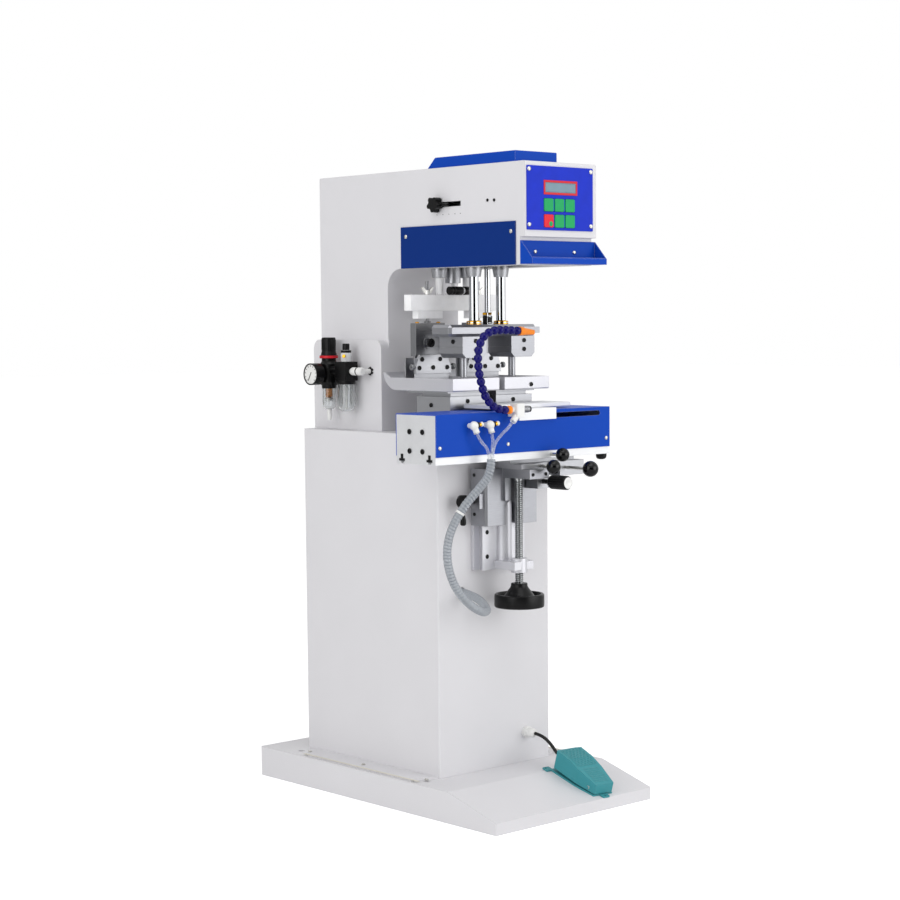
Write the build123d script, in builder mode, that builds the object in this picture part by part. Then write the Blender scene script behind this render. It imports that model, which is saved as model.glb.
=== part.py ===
from build123d import *
import os
from math import atan2, cos, degrees, pi, radians, sin, tan

os.makedirs("parts", exist_ok=True)

# Sizes are in millimetres. +X is the machine's right, -Y faces the operator, +Z is up.
# The origin is the middle of the base where it stands on the floor.

# Fits and clearances
running_gap = 0.05  # radial, a shaft in its bore
moving_gap = 0.4  # between faces that pass each other
cut_over = 2.0  # how far a cut runs past a face
cover_sheet = 2.0  # folded steel of the covers
edge_break = 1.0

# Base plinth
base_width = 443.0
base_length = 751.0
base_height = 64.0
base_wall = 4.0
base_rib = 5.0
base_corner_radius = 3.0
ramp_length = 138.5
ramp_front_height = 25.0
anchor_side = 31.0
anchor_front_y = -136.0
anchor_rear_y = 272.0
anchor_hole_radius = 6.5

# Pedestal cabinet
foot_edge = 9.5  # from the foot flange to the plinth's edge
pillar_front_y = -142.0
pillar_rear_y = 289.0
pillar_wall = 2.5
pillar_bend = 4.0
foot_width = 55.0
foot_thickness = 3.0
foot_front_y = -117.0
foot_rear_y = 220.0
service_margin = 25.0
service_overlap = 13.0
hose_exit_x = -92.0
hose_exit_drop = 322.0
gland_x = 88.0
gland_rise = 63.0
gland_thread_radius = 8.0

# Column, head and their covers
column_front_y = 72.0
column_rear_y = 295.0
cheek_width = 22.0
cheek_height = 191.0
cheek_corner_radius = 20.0
head_width = 198.0
head_depth = 200.0
head_top = 1300.0
column_height = 537.0  # from the cabinet's top to the head's top
head_front_y = -339.0
head_nose_y = -326.0
head_box_depth = 146.0
head_wall = 3.0
throat_radius = 40.0
head_bend = 4.0
side_cover_front_y = -314.0
side_cover_rear_y = 27.0
side_cover_height = 85.0
top_cover_width = 116.0
top_cover_front_y = -270.0
top_cover_rear_y = -6.0
top_cover_slant = 28.0
top_cover_height = 26.0
panel_left_x = -95.0
panel_right_x = 88.0
panel_low_drop = 133.0
panel_high_drop = 9.0
panel_thickness = 2.0

# Display and keys
display_left_x = -50.0
display_right_x = 43.0
display_low_drop = 64.0
display_high_drop = 36.0
display_proud = 1.2
display_frame = 4.0
display_depth = 4.0
key_width = 26.0
key_height = 25.0
key_first_x = -36.5
key_pitch_x = 29.5
key_first_drop = 84.0
key_pitch_z = 31.0
key_skirt = 1.0
key_travel = 0.8

# Tool tray
tray_left_x = -100.0
tray_right_x = 108.0
tool_tray_rise = 1.0
tool_tray_back_height = 46.0
tool_tray_depth = 34.0
tool_tray_lip = 11.0

# Carriage in the head
guide_x = 70.0
guide_rise = 30.0
guide_radius = 10.0
guide_block_thickness = 16.0
guide_front_block_y = -316.0
guide_rear_block_y = 40.0
guide_block_half_height = 23.0
carriage_front_y = -152.0
carriage_rear_y = 14.0
carriage_half_width = 88.0
carriage_half_height = 22.0
head_travel = 100.0
collar_radius = 17.0
collar_length = 27.0
pad_row_y = -126.0
pad_shaft_x = 38.0
pad_shaft_radius = 10.0
blade_row_y = -21.5
blade_shaft_radius = 8.0
slide_cylinder_radius = 24.0
slide_cylinder_bore = 17.0
slide_cylinder_cap = 9.0
slide_rod_radius = 6.0
slide_piston_length = 12.0
pad_cylinder_width = 48.0
pad_cylinder_bore = 20.0
pad_cylinder_cap = 8.0
pad_cylinder_cushion = 42.0
pad_rod_radius = 6.0
pad_piston_length = 14.0
pad_stroke = 88.0
lift_cylinder_radius = 16.0
lift_cylinder_bore = 12.0
lift_cylinder_cushion = 10.0
lift_cylinder_cap = 6.0
lift_rod_radius = 4.0
lift_piston_length = 6.0
blade_lift = 10.0
stop_knob_y = -90.0
stop_knob_drop = 74.0
stop_slot_height = 10.0
stop_travel = 60.0

# Pad unit
beam_half_width = 122.5
beam_front_y = -146.0
beam_rear_y = -86.0
beam_drop = 140.0
beam_height = 24.0
beam_chamfer = 5.5
beam_tab_length = 13.0
beam_tab_width = 12.0
pad_shaft_length = 216.0
shaft_nut_radius = 15.0
shaft_nut_height = 7.0
clevis_width = 14.0
clevis_height = 24.0
holder_x = 68.0
holder_width = 66.0
holder_front_y = -160.0
holder_rear_y = -90.0
holder_layer = 21.5
holder_chamfer = 9.0
holder_groove = 0.8
post_radius = 7.5
post_length = 40.0

# Blade crossbar and blade units
crossbar_half_width = 126.0
crossbar_depth = 21.0
crossbar_drop = 87.0
crossbar_height = 33.0
crossbar_pad_drop = 16.0
crossbar_pad_half_width = 34.0
crossbar_pad_depth = 17.0
lift_knob_radius = 8.0
lift_knob_y = -45.0
lift_knob_left_x = -33.0
lift_knob_length = 54.0
lift_knob_ring = 5.0
blade_pitch = 143.0
stud_radius = 3.5
stud_spare = 11.0
bracket_half_width = 40.0
bracket_thickness = 17.0
bracket_drop = 180.0
bracket_height = 68.0
spacer_height = 4.0
wing_nut_radius = 7.0
wing_nut_height = 9.0
wing_span = 34.0
wing_height = 14.0
wing_thickness = 3.0
blade_height_down = 3.0
pivot_offset_x = -6.0
pivot_rise = 27.0
pivot_radius = 6.0
pivot_head_radius = 9.0
pivot_head_height = 6.0
pivot_washer_radius = 13.0
pivot_washer_height = 1.6
blade_plate_width = 98.0
blade_plate_top_width = 76.0
blade_plate_height = 39.0
blade_plate_drop = 36.0
blade_plate_thickness = 6.0
blade_plate_front_y = -39.0
blade_corner = 12.0
blade_thickness = 1.6
blade_reach = 16.0
tongue_thickness = 7.0
tongue_half_width = 22.0
web_drop = 3.6  # under the bracket, so that the holder can tilt
flood_bar_thickness = 4.0

# Ink trays and their support
ink_pitch = 143.0
ink_tray_width = 128.0
ink_tray_front_y = -168.0
ink_tray_rear_y = 49.0
ink_tray_rise = 87.0
ink_tray_height = 26.0
ink_tray_wall = 5.0
ink_tray_curl_y = 8.0
ink_tray_curl_rise = 11.0
ink_tray_lip = 6.0
support_front_y = -140.0
support_rear_y = -32.0
support_half_width = 118.0
support_step = 3.0
support_height = 42.0
support_pad_height = 11.0
support_plate_height = 4.0
support_plate_over = 7.0
support_block_gap = 24.0
support_pad_inset = 9.0
ink_tray_edge = 3.0

# Knee: rail on the pillar, lifting carriage, screw and handwheel
rail_foot_drop = 279.0
rail_top_gap = 2.0  # under the bed when the knee is at its lowest
rail_half_width = 66.0
rail_plate = 8.0
rail_depth = 20.0
rail_neck_half_width = 48.0
rail_face_half_width = 60.0
rail_column_radius = 16.5
screw_y = -215.0
screw_radius = 9.0
bracket_arm_half_width = 27.0
bracket_arm_front_y = -230.0
bracket_arm_height = 17.0
bracket_arm_offset = 2.0
screw_nut_radius = 17.0
screw_nut_over = 6.0
knee_half_width = 73.0
knee_front_y = -196.0
knee_height = 116.0
knee_drop = 70.0
knee_window_half_width = 20.0
knee_window_height = 50.0
knee_arm_front_y = -275.0
knee_arm_height = 19.0
knee_gusset_depth = 8.0
knee_up = 18.0
knee_down = 40.0
clamp_block_width = 11.0
clamp_block_half_height = 15.0
clamp_block_front_y = -188.0
clamp_block_rear_y = -160.0
lever_y = -168.0
lever_drop = 65.0
lever_stem_radius = 5.0
lever_stem_length = 16.0
lever_hub_radius = 14.0
lever_hub_length = 22.0
lever_arm_length = 48.0
lever_arm_radius = 6.0
screw_end_rise = 3.0  # of the screw's end in the handwheel
screw_journal_radius = 6.0
screw_journal_length = 14.0
screw_collar_radius = 10.5
screw_collar_height = 5.0
wheel_radius = 52.0
wheel_hub_gap = 4.0  # under the nut when the knee is at its highest
wheel_rim_height = 40.0
wheel_rim_thickness = 9.0
wheel_web_thickness = 8.0
wheel_hub_radius = 20.5
wheel_hub_height = 53.0
wheel_boss_drop = 5.0
wheel_lobes = 8
lobe_hollow_radius = 24.0
lobe_depth = 2.5

# Cross slide under the bed
stage_front_y = -258.0
stage_rear_y = -178.0
stage_left_x = -33.0
stage_right_x = 164.0
stage_bar_front_y = -240.0
stage_bar_rear_y = -192.0
stage_thickness = 10.0
stage_rail_left_x = -33.0
stage_rail_right_x = 150.0
stage_rail_half_width = 20.0
stage_hanger_left_x = 30.0
stage_hanger_right_x = 62.0
stage_hanger_rear_y = -200.0
stage_hanger_drop = 43.0
adjust_knob_x = 46.0
adjust_knob_drop = 28.5
adjust_knob_radius = 14.0
adjust_knob_length = 50.0
adjust_neck_length = 21.0
adjust_neck_radius = 5.0
ball_radius = 14.0
ball_stem_radius = 3.25
bed_ball_x = 46.0
bed_ball_stem = 22.0
stage_ball_x = 16.0
stage_ball_stem = 30.0
side_ball_x = 108.0
side_ball_stem = 62.0

# Shuttle bed, cover and table
bed_left_x = -268.0
bed_right_x = 217.0
bed_middle_y = -205.0
bed_depth = 118.0
bed_rise = 21.0
bed_floor_height = 21.0
bed_floor = 9.0
bed_leg_width = 34.0
bed_wall = 5.0
bed_wall_height = 44.0
slot_mouth = 6.0
slot_width = 11.0
slot_depth = 9.0
slot_lip = 3.0
bed_height = 98.0
bed_cover_rise = 15.0
end_plate_thickness = 6.0
table_rod_radius = 8.0
table_rod_offset = 30.0
table_rod_rise = 62.0
front_slot_left_room = 5.0
front_slot_right_room = 23.0
front_slot_rise = 81.0
front_slot_height = 10.0
slider_half_width = 45.0
slider_half_depth = 46.0
slider_rise = 49.0
slider_arm_half_width = 40.0
slider_arm_height = 8.0
apron_half_width = 52.0
apron_thickness = 7.5
apron_rise = 79.0
flange_rise = 4.0
table_travel = 125.0
table_left_x = -90.0
table_right_x = 135.0
table_front_y = -230.0
table_rear_y = -150.0
table_thickness = 8.0
table_hole_radius = 3.0
table_hole_half_x = 80.0
table_hole_half_y = 25.0

# Air fittings and the blow-off hose
elbow_first_x = -181.0
elbow_second_x = -138.0
elbow_rise = 74.0
elbow_stem_radius = 5.0
elbow_ball_radius = 9.0
elbow_reach = 14.0
elbow_barrel_radius = 6.0
elbow_barrel_length = 16.0
elbow_screw_radius = 3.5
elbow_screw_length = 19.0
valve_left_x = -76.0
valve_right_x = -56.0
valve_front_y = -291.0
valve_drop = 10.0
valve_height = 26.0
valve_barrel_radius = 6.5
hose_plane_y = -280.0
hose_start_x = -84.0
hose_start_rise = 4.0
hose_reach = 89.0
hose_rise = 158.0
segment_count = 19
segment_radius = 8.5
segment_neck_radius = 5.6
hose_base_length = 8.0
nozzle_length = 39.0
nozzle_tip_width = 7.0
nozzle_tip_height = 9.0

# Service unit on the column: regulator, lubricator, bowls, gauge and shut-off valve
service_x = -150.0
regulator_y = 208.0
lubricator_y = 150.0
service_rise = 125.0
regulator_radius = 19.0
regulator_drop = 30.0
regulator_rise = 27.0
ring_radius = 19.5
ring_height = 6.0
knob_radius = 15.0
knob_rise = 71.0
port_radius = 11.0
port_thread_radius = 6.58
port_thread_length = 12.0
port_stub = 6.0
lubricator_width = 34.0
lubricator_drop = 20.0
lubricator_rise = 20.0
lubricator_neck_radius = 11.0
lubricator_neck_rise = 44.0
lubricator_cap_radius = 6.5
lubricator_cap_rise = 58.0
filter_bowl_radius = 14.0
filter_bowl_drop = 82.0
drain_radius = 4.0
drain_length = 22.0
oil_bowl_radius = 18.0
oil_bowl_drop = 85.0
bowl_wall = 2.5
gauge_radius = 23.0
gauge_length = 26.0
gauge_stem_radius = 6.0
gauge_stem_length = 6.0
gauge_face_depth = 1.5
gauge_rim = 2.0
bracket_plate_z_half = 13.0
shutoff_radius = 8.5
shutoff_length = 38.0
shutoff_elbow_radius = 5.0
grommet_radius = 8.0
grommet_length = 3.0

# Foot pedal on the ramp
pedal_x = 97.0
pedal_setback = 4.0
pedal_yaw = 4.0
pedal_length = 128.0
pedal_rear_width = 66.0
pedal_front_width = 47.0
pedal_rear_height = 48.0
pedal_front_height = 25.0
pedal_shell = 2.5
pedal_rib = 0.8
pedal_rib_width = 2.2
pedal_rib_pitch = 5.6
pedal_cross_ribs = 8
pedal_slant_ribs = 11
pedal_plate = 3.0
pedal_flange = 2.0
pedal_skirt_rear = 9.6
pedal_skirt_front = 4.4
pedal_hinge_share = 0.85
pedal_hinge_z = 12.0
pedal_pin_radius = 2.5
pedal_travel = 3.0
pedal_box_front = 30.0
pedal_box_half_width = 17.0
pedal_box_height = 20.0
pedal_boss_reach = 6.0
pedal_boss_radius = 6.5
pedal_boss_z = 21.0
pedal_notch_side = 2.0
pedal_ear_length = 16.0
pedal_ear_width = 18.0
pedal_ear_slot = 2.6

# Cords
cable_radius = 3.5
gland_radius = 10.0
gland_length = 28.0
gland_flange = 12.0
bundle_radius = 8.5
bundle_hole_gap = 1.0
tube_radius = 3.0


def write_piece(builder, name):
    builder.part.label = name
    export_step(builder.part, f"parts/{name}.step")


def inset(span, amount):
    return (span[0] + amount, span[1] - amount)


def middle(span):
    return (span[0] + span[1]) / 2


def block(x, y, z, mode=Mode.ADD):
    """A block between the low and high ends given for each axis."""
    with Locations((middle(x), middle(y), middle(z))):
        Box(x[1] - x[0], y[1] - y[0], z[1] - z[0], mode=mode)


def prism(plane, points, depth, mode=Mode.ADD):
    """A closed outline on a plane, extruded along the plane's normal."""
    with BuildSketch(plane) as outline:
        with BuildLine():
            Polyline(*points, close=True)
        make_face()
    extrude(outline.sketch, amount=depth, mode=mode)


def bar(start, direction, length, radius, mode=Mode.ADD):
    """A round bar from a point along a direction."""
    with BuildSketch(Plane(origin=start, z_dir=direction)) as section:
        Circle(radius)
    extrude(section.sketch, amount=length, mode=mode)


def turned(start, direction, points, mode=Mode.ADD):
    """A turned shape: points are (radius, distance along the axis)."""
    axis = Vector(*direction).normalized()
    across = Vector(0, 1, 0) if abs(axis.X) > abs(axis.Y) else Vector(1, 0, 0)
    radial = (across - axis * across.dot(axis)).normalized()
    with BuildSketch(Plane(origin=start, x_dir=radial, z_dir=radial.cross(axis))) as outline:
        with BuildLine():
            Polyline(*points, close=True)
        make_face()
    revolve(outline.sketch, axis=Axis(start, axis), mode=mode)


def corner_radii(points):
    """The largest tangent arc that the two runs at each corner allow."""
    radii = []
    for before, corner, after in zip(points, points[1:], points[2:]):
        run_in = Vector(*corner) - Vector(*before)
        run_out = Vector(*after) - Vector(*corner)
        half_turn = radians(run_in.get_angle(run_out)) / 2
        radii.append(0.45 * min(run_in.length, run_out.length) / tan(half_turn))
    return radii


def lay_tube(name, points, radius):
    """A round tube along straight runs joined by tangent arcs."""
    radii = corner_radii(points)
    with BuildLine() as route:
        FilletPolyline(*points, radius=radii)
    path = route.wire()
    with BuildSketch(Plane(origin=path @ 0, z_dir=path % 0)) as section:
        Circle(radius)
    tube = sweep(section.sketch, path=path)
    print(name, "bends", [round(value, 1) for value in radii], "length", round(path.length, 1))
    print(name, "volume over section times length", round(tube.volume / (pi * radius**2 * path.length), 4))


# Levels, each from its own datum
pillar_top = head_top - column_height
hose_exit_z = pillar_top - hose_exit_drop
gland_z = base_height + gland_rise
head_underside = head_top - head_depth
head_box_underside = head_top - head_box_depth
panel_low_z = head_top - panel_low_drop
panel_high_z = head_top - panel_high_drop
display_low_z = head_top - display_low_drop
display_high_z = head_top - display_high_drop
key_first_z = head_top - key_first_drop
tool_tray_low_z = head_underside + tool_tray_rise
guide_z = head_underside + guide_rise
stop_knob_z = head_top - stop_knob_drop
beam_low_z = head_underside - beam_drop
crossbar_low_z = head_underside - crossbar_drop
bracket_low_z = head_underside - bracket_drop
pivot_z = bracket_low_z + pivot_rise
blade_plate_low_z = bracket_low_z - blade_plate_drop
ink_tray_low_z = pillar_top + ink_tray_rise
support_block_top = ink_tray_low_z - support_pad_height
knee_top_z = pillar_top - knee_drop
rail_low_z = pillar_top - rail_foot_drop
knee_low_z = knee_top_z - knee_height
lever_z = knee_top_z - lever_drop
stage_hanger_low_z = knee_top_z - stage_hanger_drop
adjust_knob_z = knee_top_z - adjust_knob_drop
bed_low_z = knee_top_z + bed_rise
bed_wall_top = bed_low_z + bed_wall_height
bed_top_z = bed_low_z + bed_height
bed_cover_low_z = bed_low_z + bed_cover_rise
table_rod_z = bed_low_z + table_rod_rise
front_slot_low_z = bed_low_z + front_slot_rise
slider_low_z = bed_low_z + slider_rise
apron_low_z = bed_low_z + apron_rise
flange_top_z = bed_top_z + flange_rise
elbow_z = bed_low_z + elbow_rise
valve_low_z = bed_top_z - valve_drop
hose_start_z = bed_top_z + hose_start_rise
service_z = pillar_top + service_rise
regulator_low_z = service_z - regulator_drop
regulator_high_z = service_z + regulator_rise
knob_top_z = service_z + knob_rise
lubricator_low_z = service_z - lubricator_drop
lubricator_high_z = service_z + lubricator_rise
lubricator_neck_top = service_z + lubricator_neck_rise
lubricator_cap_top = service_z + lubricator_cap_rise
filter_bowl_low_z = service_z - filter_bowl_drop
oil_bowl_low_z = service_z - oil_bowl_drop
pillar_width = base_width - 2 * (foot_width + foot_edge)
anchor_x = pillar_width / 2 + anchor_side
key_proud = 2 * key_travel
pad_cylinder_height = pad_stroke + pad_piston_length + 2 * pad_cylinder_cap + pad_cylinder_cushion
lift_cylinder_height = blade_lift + lift_piston_length + 2 * lift_cylinder_cap + lift_cylinder_cushion
rail_high_z = knee_top_z - knee_down - rail_top_gap
front_slot_left_x = -slider_arm_half_width - front_slot_left_room
front_slot_right_x = slider_arm_half_width + table_travel + front_slot_right_room
half_base = base_length / 2
ramp_break_y = ramp_length - half_base
pedal_rear_y = ramp_break_y - pedal_setback
ramp_slope = atan2(base_height - ramp_front_height, ramp_length)
pillar_x = (-pillar_width / 2, pillar_width / 2)
pillar_y = (pillar_front_y, pillar_rear_y)
pillar_z = (base_height, pillar_top)
half_head = head_width / 2
panel_y = head_front_y - panel_thickness
front_window_x = (display_left_x - moving_gap, display_right_x + moving_gap)

# Base plinth: a folded shell, open below, with two crossing ribs
with BuildPart() as base_plinth:
    with BuildSketch(Plane.YZ.offset(-base_width / 2)):
        with BuildLine():
            Polyline(
                (-half_base, 0),
                (-half_base, ramp_front_height),
                (ramp_break_y, base_height),
                (half_base, base_height),
                (half_base, 0),
                close=True,
            )
        make_face()
    extrude(amount=base_width)
    fillet(base_plinth.edges().filter_by(Axis.Z), radius=base_corner_radius)
    inner_break_y = ramp_break_y + base_wall * tan(ramp_slope / 2)
    inner_front_y = base_wall - half_base
    inner_top = base_height - base_wall
    inner_front_z = inner_top - (inner_break_y - inner_front_y) * tan(ramp_slope)
    with BuildSketch(Plane.YZ.offset(base_wall - base_width / 2)):
        with BuildLine():
            Polyline(
                (inner_front_y, -cut_over),
                (inner_front_y, inner_front_z),
                (inner_break_y, inner_top),
                (half_base - base_wall, inner_top),
                (half_base - base_wall, -cut_over),
                close=True,
            )
        make_face()
    extrude(amount=base_width - 2 * base_wall, mode=Mode.SUBTRACT)
    rib_x = inset((-base_width / 2, base_width / 2), base_wall / 2)
    block(rib_x, (-base_rib / 2, base_rib / 2), (0, base_height - base_wall / 2))
    block(
        (-base_rib / 2, base_rib / 2),
        (ramp_break_y, half_base - base_wall / 2),
        (0, base_height - base_wall / 2),
    )
    with Locations(
        (-anchor_x, anchor_front_y, base_height),
        (anchor_x, anchor_front_y, base_height),
        (-anchor_x, anchor_rear_y, base_height),
        (anchor_x, anchor_rear_y, base_height),
    ):
        Hole(anchor_hole_radius, depth=base_wall + cut_over)
write_piece(base_plinth, "base_plinth")

# Pedestal cabinet: a folded box with a flange foot on each side and a service opening behind
with BuildPart() as pillar_cabinet:
    block(pillar_x, pillar_y, pillar_z)
    fillet(pillar_cabinet.edges().filter_by(Axis.Z), radius=pillar_bend)
    block(
        inset(pillar_x, pillar_wall),
        inset(pillar_y, pillar_wall),
        inset(pillar_z, pillar_wall),
        mode=Mode.SUBTRACT,
    )
    block(
        inset(pillar_x, service_margin),
        (pillar_rear_y - pillar_wall - cut_over, pillar_rear_y + cut_over),
        inset(pillar_z, service_margin),
        mode=Mode.SUBTRACT,
    )
    for side in (-1, 1):
        foot_inner_x = side * (pillar_width / 2 - pillar_wall / 2)
        foot_outer_x = side * (pillar_width / 2 + foot_width)
        foot_corners = [
            (foot_inner_x, pillar_front_y + pillar_bend),
            (foot_outer_x, foot_front_y),
            (foot_outer_x, foot_rear_y),
            (foot_inner_x, pillar_rear_y - pillar_bend),
        ]
        prism(Plane.XY.offset(base_height), foot_corners, foot_thickness)
    hose_hole_radius = bundle_radius + bundle_hole_gap
    wall_behind_y = pillar_front_y + pillar_wall + cut_over
    bar(
        (hose_exit_x, wall_behind_y, hose_exit_z),
        (0, -1, 0),
        pillar_wall + 2 * cut_over,
        hose_hole_radius,
        Mode.SUBTRACT,
    )
    bar(
        (gland_x, wall_behind_y, gland_z),
        (0, -1, 0),
        pillar_wall + 2 * cut_over,
        gland_thread_radius,
        Mode.SUBTRACT,
    )
write_piece(pillar_cabinet, "pillar_cabinet")

with BuildPart() as pillar_rear_cover:
    cover_margin = service_margin - service_overlap
    block(
        inset(pillar_x, cover_margin),
        (pillar_rear_y, pillar_rear_y + cover_sheet),
        inset(pillar_z, cover_margin),
    )
    fillet(pillar_rear_cover.edges().filter_by(Axis.Y), radius=pillar_bend)
write_piece(pillar_rear_cover, "pillar_rear_cover")

# Lower column housing: two rounded cheeks joined by a front plate, wrapped round the column
cheek_top = pillar_top + cheek_height
cheek_front_y = column_front_y - cover_sheet
with BuildPart() as lower_housing:
    for side in (-1, 1):
        outer_x = side * (half_head + cheek_width)
        inner_x = side * half_head
        cheek_plane = Plane.YZ.offset(min(outer_x, inner_x))
        with BuildSketch(cheek_plane) as cheek_outline:
            with BuildLine():
                Polyline(
                    (cheek_front_y, pillar_top),
                    (cheek_front_y, cheek_top),
                    (column_rear_y, cheek_top),
                    (column_rear_y, pillar_top),
                    close=True,
                )
            make_face()
            fillet(cheek_outline.vertices().group_by(Axis.Y)[-1], radius=cheek_corner_radius)
        extrude(amount=cheek_width)
        hollow_start = min(outer_x, inner_x) + (cover_sheet if side < 0 else 0)
        with BuildSketch(Plane.YZ.offset(hollow_start)):
            add(cheek_outline.sketch_local)
            offset(amount=-cover_sheet, mode=Mode.REPLACE)
        extrude(amount=cheek_width - cover_sheet, mode=Mode.SUBTRACT)
    block(
        (-half_head - cover_sheet, half_head + cover_sheet),
        (cheek_front_y, column_front_y),
        (pillar_top, cheek_top - cheek_corner_radius),
    )
    block((-half_head, half_head), (cheek_front_y, column_front_y), (pillar_top, cheek_top))
write_piece(lower_housing, "lower_housing")

# Column and head: one folded frame shaped like a C, hollow, with the guide blocks welded in
front_block_y = (guide_front_block_y, guide_front_block_y + guide_block_thickness)
rear_block_y = (guide_rear_block_y, guide_rear_block_y + guide_block_thickness)
guide_block_z = (guide_z - guide_block_half_height, guide_z + guide_block_half_height)
with BuildPart() as head_frame:
    with BuildSketch(Plane.YZ.offset(-half_head)) as head_outline:
        with BuildLine():
            Polyline(
                (column_rear_y, pillar_top),
                (column_rear_y, head_top),
                (head_front_y, head_top),
                (head_front_y, head_box_underside),
                (head_nose_y, head_box_underside),
                (head_nose_y, head_underside),
                (column_front_y, head_underside),
                (column_front_y, pillar_top),
                close=True,
            )
        make_face()
        throat_corner = head_outline.vertices().sort_by_distance((column_front_y, head_underside, 0))[0]
        fillet(throat_corner, radius=throat_radius)
        fillet(head_outline.vertices().group_by(Axis.Y)[-1], radius=head_bend)
    extrude(amount=head_width)
    with BuildSketch(Plane.YZ.offset(head_wall - half_head)):
        add(head_outline.sketch_local)
        offset(amount=-head_wall, kind=Kind.INTERSECTION, mode=Mode.REPLACE)
    extrude(amount=head_width - 2 * head_wall, mode=Mode.SUBTRACT)
    inner_half = half_head - head_wall / 2
    for block_y in (front_block_y, rear_block_y):
        block((-inner_half, inner_half), block_y, guide_block_z)
        for side in (-1, 1):
            bar(
                (side * guide_x, block_y[0] - cut_over, guide_z),
                (0, 1, 0),
                guide_block_thickness + 2 * cut_over,
                guide_radius,
                Mode.SUBTRACT,
            )
    rod_clearance = slide_rod_radius + running_gap
    bar(
        (0, rear_block_y[0] - cut_over, guide_z),
        (0, 1, 0),
        guide_block_thickness + 2 * cut_over,
        rod_clearance,
        Mode.SUBTRACT,
    )
    underside_half = pad_shaft_x + collar_radius + cut_over
    underside_front = pad_row_y - head_travel - pad_cylinder_width
    underside_rear = blade_row_y + collar_radius + head_wall
    block(
        (-underside_half, underside_half),
        (underside_front, underside_rear),
        (head_underside - cut_over, head_underside + head_wall + cut_over),
        mode=Mode.SUBTRACT,
    )
    top_window_half = pad_shaft_x + pad_shaft_radius + cut_over
    top_window_y = (
        pad_row_y - head_travel - pad_cylinder_width * 0.7, pad_row_y + pad_cylinder_width * 0.7
    )
    block(
        (-top_window_half, top_window_half),
        top_window_y,
        (head_top - head_wall - cut_over, head_top + cut_over),
        mode=Mode.SUBTRACT,
    )
    slot_y = (stop_knob_y - stop_travel - stop_slot_height / 2, stop_knob_y + stop_slot_height / 2)
    slot_z = (stop_knob_z - stop_slot_height / 2, stop_knob_z + stop_slot_height / 2)
    block((-half_head - cut_over, cut_over - half_head + head_wall), slot_y, slot_z, mode=Mode.SUBTRACT)
    block(
        front_window_x,
        (head_front_y - cut_over, head_front_y + head_wall + cut_over),
        (panel_low_z + cover_sheet, display_high_z + moving_gap),
        mode=Mode.SUBTRACT,
    )
write_piece(head_frame, "head_frame")

with BuildPart() as side_covers:
    for side in (-1, 1):
        plate_x = sorted((side * half_head, side * (half_head + cover_sheet)))
        block(
            plate_x,
            (side_cover_front_y, side_cover_rear_y),
            (head_underside, head_underside + side_cover_height),
        )
write_piece(side_covers, "side_covers")

with BuildPart() as top_cover:
    for thickness, mode in ((0, Mode.ADD), (cover_sheet, Mode.SUBTRACT)):
        cover_outline = [
            (top_cover_front_y + thickness, head_top - (cut_over if thickness else 0)),
            (top_cover_front_y + thickness, head_top + top_cover_height - thickness),
            (top_cover_rear_y - top_cover_slant - thickness * 0.4, head_top + top_cover_height - thickness),
            (top_cover_rear_y - thickness * 1.4, head_top - (cut_over if thickness else 0)),
        ]
        prism(
            Plane.YZ.offset(thickness - top_cover_width / 2),
            cover_outline,
            top_cover_width - 2 * thickness,
            mode,
        )
        if mode == Mode.ADD:
            fillet(top_cover.faces().sort_by(Axis.Z)[-1].edges(), radius=cover_sheet)
write_piece(top_cover, "top_cover")

# Control panel, its display and its six keys
key_places = [
    (
        key_first_x + column * key_pitch_x, key_first_z - row * key_pitch_z
    ) for row in range(2) for column in range(3)
]
with BuildPart() as control_panel:
    block((panel_left_x, panel_right_x), (panel_y, head_front_y), (panel_low_z, panel_high_z))
    fillet(control_panel.edges().filter_by(Axis.Y), radius=panel_thickness)
    window_x = inset((display_left_x, display_right_x), display_frame)
    window_z = inset((display_low_z, display_high_z), display_frame)
    block(window_x, (panel_y - cut_over, head_front_y + cut_over), window_z, mode=Mode.SUBTRACT)
    for key_x, key_z in key_places:
        opening_x = (key_x - key_width / 2 - moving_gap, key_x + key_width / 2 + moving_gap)
        opening_z = (key_z - key_height / 2 - moving_gap, key_z + key_height / 2 + moving_gap)
        block(opening_x, (panel_y - cut_over, head_front_y + cut_over), opening_z, mode=Mode.SUBTRACT)
write_piece(control_panel, "control_panel")

with BuildPart() as display:
    block(
        (display_left_x, display_right_x),
        (panel_y - display_proud, panel_y),
        (display_low_z, display_high_z),
    )
    block(window_x, (panel_y, head_front_y + display_depth), window_z)
    block(
        window_x,
        (panel_y - display_proud - cut_over, panel_y - display_proud / 2),
        window_z,
        mode=Mode.SUBTRACT,
    )
write_piece(display, "display")

for number, (key_x, key_z) in enumerate(key_places, start=1):
    with BuildPart() as panel_key:
        cap_x = (key_x - key_width / 2, key_x + key_width / 2)
        cap_z = (key_z - key_height / 2, key_z + key_height / 2)
        block(cap_x, (panel_y - key_proud, head_front_y + key_skirt), cap_z)
        fillet(panel_key.edges().filter_by(Axis.Y), radius=key_width * 0.12)
        chamfer(panel_key.faces().sort_by(Axis.Y)[0].edges(), length=key_proud * 0.3)
    write_piece(panel_key, f"panel_key_{number}")

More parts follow.
